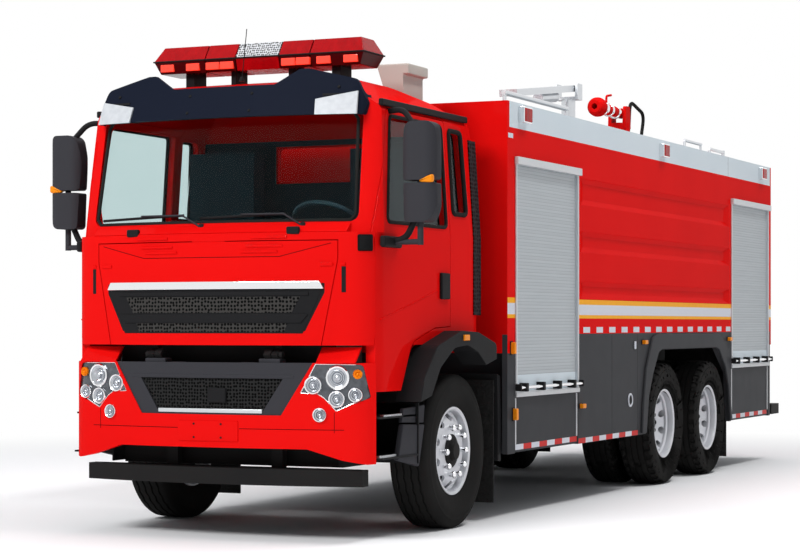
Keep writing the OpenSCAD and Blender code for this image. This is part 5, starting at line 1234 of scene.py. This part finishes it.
def lean_in(z):
    """How far the flank of the cab leans in, which is nought up to the waist."""
    return FLANK_LEAN * max(0.0, z - WAIST_Z) / FLANK_TALL


def flank(y, z):
    """A point on the flank of the cab."""
    return (FLANK_X - lean_in(z), y, z)


DOOR_WINDOW = [(-1.047, 2.055), (-0.921, 2.748), (-0.077, 2.748), (-0.077, 2.055)]
QUARTER_WINDOW = [(0.040, 2.155), (0.040, 2.730), (0.262, 2.730), (0.290, 2.155)]


def window_seal(corners, radius):
    """A closed tube round an opening, from the middle of one side and back to it."""
    start = tuple((a + b) / 2 for a, b in zip(corners[0], corners[-1]))
    line = [flank(*start)] + [flank(*c) for c in corners] + [flank(*start)]
    return tube(bent(line, 0.045)[:-1], radius, True)


settle_left_right(window_seal(DOOR_WINDOW, 0.013), "window_seal", RUBBER, "door", "rubber")
settle_pair([window_seal(QUARTER_WINDOW, 0.017)], "quarter_seals", RUBBER, "cab", "rubber")
drip_rail = block((1.046, -1.030, 2.808), (1.078, 0.395, 2.852), 0.008, 3)
settle_pair([drip_rail], "drip_rails", BLACK_PLASTIC, "cab", "dark_plastic")
print("window seals and drip rails")

# %% Door grips, creases, brackets and mirror arms
grip = block((1.119, -0.205, 1.566), (1.142, -0.060, 1.745), 0.010, 3)
crease = tube([(1.1195, -1.150, 1.428), (1.1195, -0.231, 1.628)], 0.005)
bracket = block((1.116, -1.165, 1.888), (1.156, -0.890, 1.962), 0.014, 3)
arm_low = tube(bent([(1.135, -1.000, 1.930), (1.230, -0.995, 1.950), (1.290, -0.995, 2.070)], 0.05), 0.021)
arm_top = tube(bent([(1.060, -0.905, 2.778), (1.190, -0.955, 2.782), (1.290, -0.995, 2.660)], 0.06), 0.019)
repeater = block((1.345, -1.064, 2.300), (1.438, -1.018, 2.356), 0.016, 3)
for point in repeater.data.vertices:
    if point.co.z > 2.33:
        point.co.z -= 0.034 * (1.438 - point.co.x) / 0.093
for piece, name, look, slot in ((grip, "door_grip", BLACK_PLASTIC, "dark_plastic"),
                                (crease, "door_crease", RED, "red_paint"),
                                (joined([bracket, arm_low, arm_top]), "mirror_arms", BLACK_PLASTIC,
                                 "dark_plastic"),
                                (repeater, "mirror_repeater", AMBER, "marker_lens")):
    settle_left_right(piece, name, look, "door", slot)
CORNER_TURN = math.radians(41)
corner_plug = block((-0.050, -0.014, 1.862), (0.050, 0.030, 1.968), 0.010, 3)
corner_plug.rotation_euler.z = CORNER_TURN
corner_plug.location = Vector((1.050, -1.236, 0))
corner_plug.location.y += FRONT_AXLE - FRONT_AXLE * math.cos(CORNER_TURN)
corner_plug.location.x += FRONT_AXLE * math.sin(CORNER_TURN)
settle_pair([corner_plug], "corner_brackets", BLACK_PLASTIC, "cab", "dark_plastic")
flare_lamps = [block((1.246, -0.098, 1.286), (1.262, -0.002, 1.326), 0.006, 3)]
settle_pair(flare_lamps, "flare_lamps", AMBER, "cab", "marker_lens")
intake_cover = block((1.116, 0.392, 1.462), (1.128, 0.448, 2.690), 0.002)
select_only(intake_cover)
bpy.ops.object.mode_set(mode="EDIT")
bpy.ops.mesh.select_all(action="SELECT")
bpy.ops.mesh.bisect(plane_co=(0, 0, WAIST_Z), plane_no=(0, 0, 1))
bpy.ops.object.mode_set(mode="OBJECT")
for point in intake_cover.data.vertices:
    point.co.x -= lean_in(point.co.z)
settle(intake_cover, "intake_cover", INTAKE, "cab", "dark_plastic")
print("door fittings")

# %% [markdown]
# ## The light bar
#
# The bar is hexagonal in section: lenses lean back above a dark rim and lean in below it. Upper lenses, lower
# lenses, the speaker in the middle and the dark core are separate prisms, so the joints between the lenses
# show. Inside the lower lenses sit lit units.

# %% Lenses, core, rim and feet
UPPER = [(-0.730, 3.209), (-0.662, 3.309), (-0.468, 3.309), (-0.400, 3.209)]
LOWER = [(-0.702, 3.121), (-0.729, 3.201), (-0.401, 3.201), (-0.428, 3.121)]
SPANS = [(-0.800, -0.404), (-0.396, -0.169), (0.169, 0.396), (0.404, 0.800)]
BAR_MIDDLE = (-0.162, 0.162)
BAR_END, BAR_DRAW, BAR_RIM_Z, BAR_HALF_TALL = 0.79, 0.060, 3.205, 0.105


def bar_part(section, x0, x1):
    """A prism along the bar; its points near the ends draw in above and below the rim."""
    part = prism([(x0, y, z) for y, z in section], x1 - x0)
    for point in part.data.vertices:
        if abs(point.co.x) > BAR_END:
            point.co.x *= 1 - BAR_DRAW * abs(point.co.z - BAR_RIM_Z) / BAR_HALF_TALL
    roll_edges(part, 0.004)
    return part


settle(joined([bar_part(UPPER, *span) for span in SPANS]), "bar_lenses_upper", RED_LENS, "cab", "red_lens",
       "light_bar")
settle(joined([bar_part(LOWER, *span) for span in SPANS]), "bar_lenses_lower", DARK_LENS, "cab", "red_lens")
settle(bar_part(UPPER, *BAR_MIDDLE), "bar_speaker", SPEAKER, "cab", "alloy")
settle(bar_part(LOWER, *BAR_MIDDLE), "bar_middle_lens", RED_LENS, "cab", "red_lens")
core = block((-0.752, -0.655, 3.130), (0.752, -0.475, 3.298), 0.004)
rim = block((-0.806, -0.736, 3.200), (0.806, -0.394, 3.210), 0.003)
feet = [block((x - w, -0.650, 2.985), (x + w, -0.480, 3.128), 0.006) for x,
        w in ((0.560, 0.035), (0.220, 0.020))]
settle(joined([core, rim, both_sides(feet)]), "bar_core", BLACK_PLASTIC, "cab", "dark_plastic")
units = [block((x - 0.052, -0.726, 3.136), (x + 0.052, -0.700, 3.186), 0.004)
         for x in (0.235, 0.345, 0.500, 0.700)]
settle_pair(units, "bar_units", LIT_RED, "cab", "red_lens")
aerial = tube([(-0.020, -0.900, 3.030), (0.020, -0.905, 3.370)], 0.003)
aerial_foot = turned([(PIN, 0), (0.020, 0), (0.012, 0.030), (PIN, 0.034)], (-0.020, -0.900, 3.020), (0, 0, 1),
                     16)
settle(joined([aerial, aerial_foot]), "aerial", BLACK_PLASTIC, "cab", "dark_plastic")
print(len(SPANS), "lens spans")

# %% [markdown]
# ## Steps beside the bumper
#
# The treads of the cab steps end in serrated metal edges. One tooth is a small block, and a row of them stands
# on a thin strip. Two slanted grey covers close the sides of the steps.

# %% Serrated treads and covers


def plate(corners, thickness, edge=0.003):
    """A flat plate from its outline on the side of the truck, thickened inwards."""
    sheet = prism(corners, -thickness)
    roll_edges(sheet, edge)
    return sheet


TOOTH_PITCH, TOOTH_LONG = 0.024, 0.013
treads = []
for y0, y1, z in ((-1.106, -0.690, 0.806), (-1.165, -0.640, 0.548)):
    treads.append(block((1.090, y0, z - 0.010), (1.124, y1, z), 0.002))
    teeth = int((y1 - y0) / TOOTH_PITCH)
    treads += [block((1.092, y0 + TOOTH_PITCH * i, z), (1.122, y0 + TOOTH_PITCH * i + TOOTH_LONG, z + 0.010),
                     0.002, 1) for i in range(teeth)]
settle_pair(treads, "step_treads", SILVER, "chassis", "alloy")
covers = [plate([(1.130, -0.816, 0.850), (1.130, -0.470, 0.862), (1.130, -0.490, 0.742),
                 (1.130, -0.847, 0.757)], 0.030, 0.008),
          plate([(1.142, -0.847, 0.748), (1.142, -0.500, 0.733), (1.142, -0.590, 0.458),
                 (1.142, -0.927, 0.519)], 0.040, 0.010)]
settle_pair(covers, "step_covers", GREY_PLASTIC, "chassis", "dark_plastic")
print(len(treads), "tread pieces a side")

# %% [markdown]
# ## Roof gear
#
# The monitor has bright flanged fittings on its red barrel and a hose that arches behind it, held at both ends
# by the monitor.

# %% Monitor fittings and hose
MONITOR_Z = 3.507


def collar(y, radius, long):
    return turned([(0.030, 0), (radius * 0.86, 0), (radius, long * 0.2), (radius, long * 0.8),
                   (radius * 0.86, long), (0.030, long)],
                  (0, y, MONITOR_Z), (0, -1, 0))


settle(joined([collar(6.840, 0.070, 0.050), collar(6.640, 0.066, 0.036), collar(6.480, 0.070, 0.060)]),
       "monitor_collars", CHROME, "barrel", "rim_metal")
lever = tube(bent([(0, 6.560, 3.545), (0, 6.560, 3.640), (0, 6.700, 3.660)], 0.03), 0.012)
settle(lever, "monitor_lever", RED, "barrel", "red_paint")
hose_line = bent([(0.0, 7.052, 3.300), (0.0, 7.250, 3.300), (0.0, 7.300, 3.660), (0.0, 7.760, 3.560),
                  (0.0, 7.600, 3.160),
                  (0.0, 7.062, 3.160)], 0.11, 8)
hose = settle(tube(hose_line, 0.018), "monitor_hose", RUBBER, "turret", "rubber")

# %% [markdown]
# ## Dark spaces
#
# Between the lid and the bumper, and under the bumper, one looks into dark machinery. A radiator, two
# latches and three black plates are enough there: the plates, a cowl behind the gap under the lid and a wall
# and tray under the bumper, stand for these parts and also fill the gaps with painted shade. The pivot arms of
# the cab are black steel, so their faces leave the red panel. Inside, a dark lining covers the rear wall and
# the roof.

# %% Radiator, tray, latches and pivot arms
radiator = block((-0.42, -1.120, 0.640), (0.42, -1.060, 1.290), 0.006)
settle(radiator, "radiator", MESH, "chassis", "dark_plastic")
# Black plates behind the gaps under the lid and under the bumper: cowl and tray, and painted shade of the dark
# space.
shade_plates = [block((-0.800, -1.150, 0.980), (0.800, -1.142, 1.296), 0.002),
               block((-0.820, -1.080, 0.470), (0.820, -1.066, 0.660), 0.004),
               block((-0.820, -1.066, 0.470), (0.820, -0.700, 0.482), 0.004)]
settle(joined(shade_plates), "painted_shade_plates", BLACK_STEEL, "chassis", "black_steel")
latches = [block((0.345, -1.352, 1.126), (0.500, -1.262, 1.176), 0.008, 3),
           block((0.210, -1.360, 1.126), (0.300, -1.300, 1.152), 0.006)]
settle_pair(latches, "cab_latches", GREY_PLASTIC, "chassis", "dark_plastic")
ARM_TOP, ARM_HALF, ARM_Y = 1.43, 0.6, (at(0, -1.36, 0).y, at(0, -1.0, 0).y)
cab_panel = bpy.data.objects["pressed_cab"]
select_only(cab_panel)
for face in cab_panel.data.polygons:
    middle = face.center
    face.select = middle.z < ARM_TOP and abs(middle.x) < ARM_HALF and ARM_Y[0] < middle.y < ARM_Y[1]
bpy.ops.object.mode_set(mode="EDIT")
bpy.ops.mesh.separate(type="SELECTED")
bpy.ops.object.mode_set(mode="OBJECT")
arms = next(piece for piece in bpy.context.selected_objects if piece is not cab_panel)
settle(arms, "cab_pivot_arms", BLACK_STEEL, "cab", "black_steel", "cab_shell")
print("dark spaces filled,", len(arms.data.polygons), "faces on the pivot arms")

# %% Lining of the cab
rear_lining = [block((-1.040, 0.372, 1.500), (1.040, 0.386, 2.420), 0.002),
               block((-1.040, 0.372, 2.690), (1.040, 0.386, 2.860), 0.002),
               block((0.430, 0.372, 2.420), (1.040, 0.386, 2.690), 0.002),
               block((-1.040, 0.372, 2.420), (-0.430, 0.386, 2.690), 0.002)]
roof_lining = [block((-0.800, -0.900, 2.900), (0.800, 0.360, 2.912), 0.002)]
settle(joined(rear_lining + roof_lining), "cab_lining", TRIM, "cab", "trim")
print("lining of", len(rear_lining + roof_lining), "boards")

# %% [markdown]
# ## Fine lines of the front
#
# A bright trim follows the edge of each headlamp. Beside the lid the corner panels have an air slot under a
# small ledge; the slot is a thin black strip, painted shade of the opening.

# %% Headlamp trims and corner slots
LAMP_EDGE = [(0.743, 1.144), (1.030, 1.141), (1.062, 0.930), (0.878, 0.843), (0.800, 0.925), (0.770, 0.945),
             (0.643, 0.957)]


def on_lamp(x, z):
    return (x, on_front(x, LAMP_FACE) - 0.001 + max(0.0, x - 0.94) ** 2 * 2.2, z)


edge_line = []
for (x0, z0), (x1, z1) in zip(LAMP_EDGE, LAMP_EDGE[1:] + LAMP_EDGE[:1]):
    edge_line += [on_lamp(x0 + (x1 - x0) * i / 6, z0 + (z1 - z0) * i / 6) for i in range(6)]
settle_pair([tube(edge_line, 0.005, True)], "headlamp_trims", CHROME, "chassis", "rim_metal")
for name, x, body in (("lid_ledges", (0.770, 0.860), "front_lid"), ("corner_ledges", (0.908, 0.940), "cab")):
    settle_pair([front_strip(x, (1.768, 1.792), LID_FACE, 0.010, 0.016, 0.006)], name, RED, body, "red_paint")
# The slot is drawn as a black strip: painted shade of the opening.
slots = [front_strip((0.912, 0.940), (1.600, 1.764), LID_FACE, 0.0015, 0.006, 0.001)]
settle_pair(slots, "corner_slot_shade", BLACK_PLASTIC, "cab", "dark_plastic")
print("trims and slots")

# %% [markdown]
# ## Deep pressings, arch frame and mud guards
#
# Each recess of the side panel is a pressed tray: its walls slope, so the upper ones stay dark and the lower
# ones catch the sky. A block is inset on its outer face and that inner face is pushed in. The frame round the
# rear wheels is a raised moulding cut from one outline. Behind the front wheels hangs a curved guard.

# %% Trays of the side panels
TRAYS = [(1.594, 1.741), (1.955, 2.132), (2.325, 2.544)]
TRAY_Y, TRAY_FLOOR, TRAY_FACE = (2.277, 6.521), 1.2224, 1.2496
TRAY_SLOPE, TRAY_SKIN, TRAY_END_SHARE = 0.046, 0.001, 0.966


def tray(z):
    """A block whose outer face is inset and pushed in, so that all four walls slope."""
    low, high = (TRAY_FLOOR, TRAY_Y[0], z[0]), (TRAY_FACE, TRAY_Y[1], z[1])
    piece = plain_box(low, high)
    edit_outer_face(piece)
    bpy.ops.mesh.inset(thickness=TRAY_SLOPE)
    bpy.ops.transform.translate(value=(TRAY_FLOOR + TRAY_SKIN - TRAY_FACE, 0, 0))
    bpy.ops.transform.resize(value=(1, TRAY_END_SHARE, 1), center_override=(at(*low) + at(*high)) / 2)
    bpy.ops.object.mode_set(mode="OBJECT")
    return piece


settle_pair([tray(z) for z in TRAYS], "pressed_trays", RED, "chassis", "red_paint")
print(len(TRAYS), "trays a side")

# %% Arch frame and front mud guards
ARCH_OUTER = [(3.775, 0.478), (3.800, 0.700), (3.885, 1.025), (4.060, 1.276), (4.140, 1.306), (4.286, 1.317),
              (6.001, 1.312), (6.150, 1.295), (6.260, 1.240), (6.430, 0.930), (6.566, 0.478)]
ARCH_INNER = [(6.500, 0.478), (6.430, 0.800), (6.330, 0.985), (6.110, 1.160), (6.020, 1.180), (4.330, 1.180),
              (4.235, 1.155), (4.080, 0.985), (3.960, 0.800), (3.890, 0.478)]
arch_frame = plate([(1.274, y, z) for y, z in ARCH_OUTER + ARCH_INNER], 0.024, 0.010)
settle_pair([arch_frame], "arch_frames", CHARCOAL, "chassis", "grey_paint")
GUARD = [(0.640, 1.046), (0.700, 1.030), (0.716, 0.700), (0.712, 0.420), (0.650, 0.424), (0.654, 0.700)]
guards = plate([(1.205, y, z) for y, z in GUARD], 0.300, 0.008)
settle_pair([guards], "front_guards", BLACK_PLASTIC, "chassis", "dark_plastic")
print("arch frame of", len(ARCH_OUTER) + len(ARCH_INNER), "corners")

# %% Painted shade of the lid's creases
def lid_line(x0, x1, z0, z1):
    """A thin dark line on the lid that climbs from one height to another: painted shade of a crease."""
    line = block((x0, LID_FACE - 0.0008, z0 - 0.002), (x1, LID_FACE + 0.003, z0 + 0.002), 0.0004, 1)
    for point in line.data.vertices:
        point.co.z += (z1 - z0) * (point.co.x - x0) / (x1 - x0)
    return bowed(line)


# Thin dark lines on the lid: painted shade of its creases.
settle(joined([lid_line(-0.500, 0.500, 1.830, 1.830), both_sides([lid_line(0.500, 0.845, 1.830, 1.914)])]),
       "lid_crease_shade", SEAM_AND_CREASE_SHADE, "front_lid", "dark_plastic")
print("creases pressed")
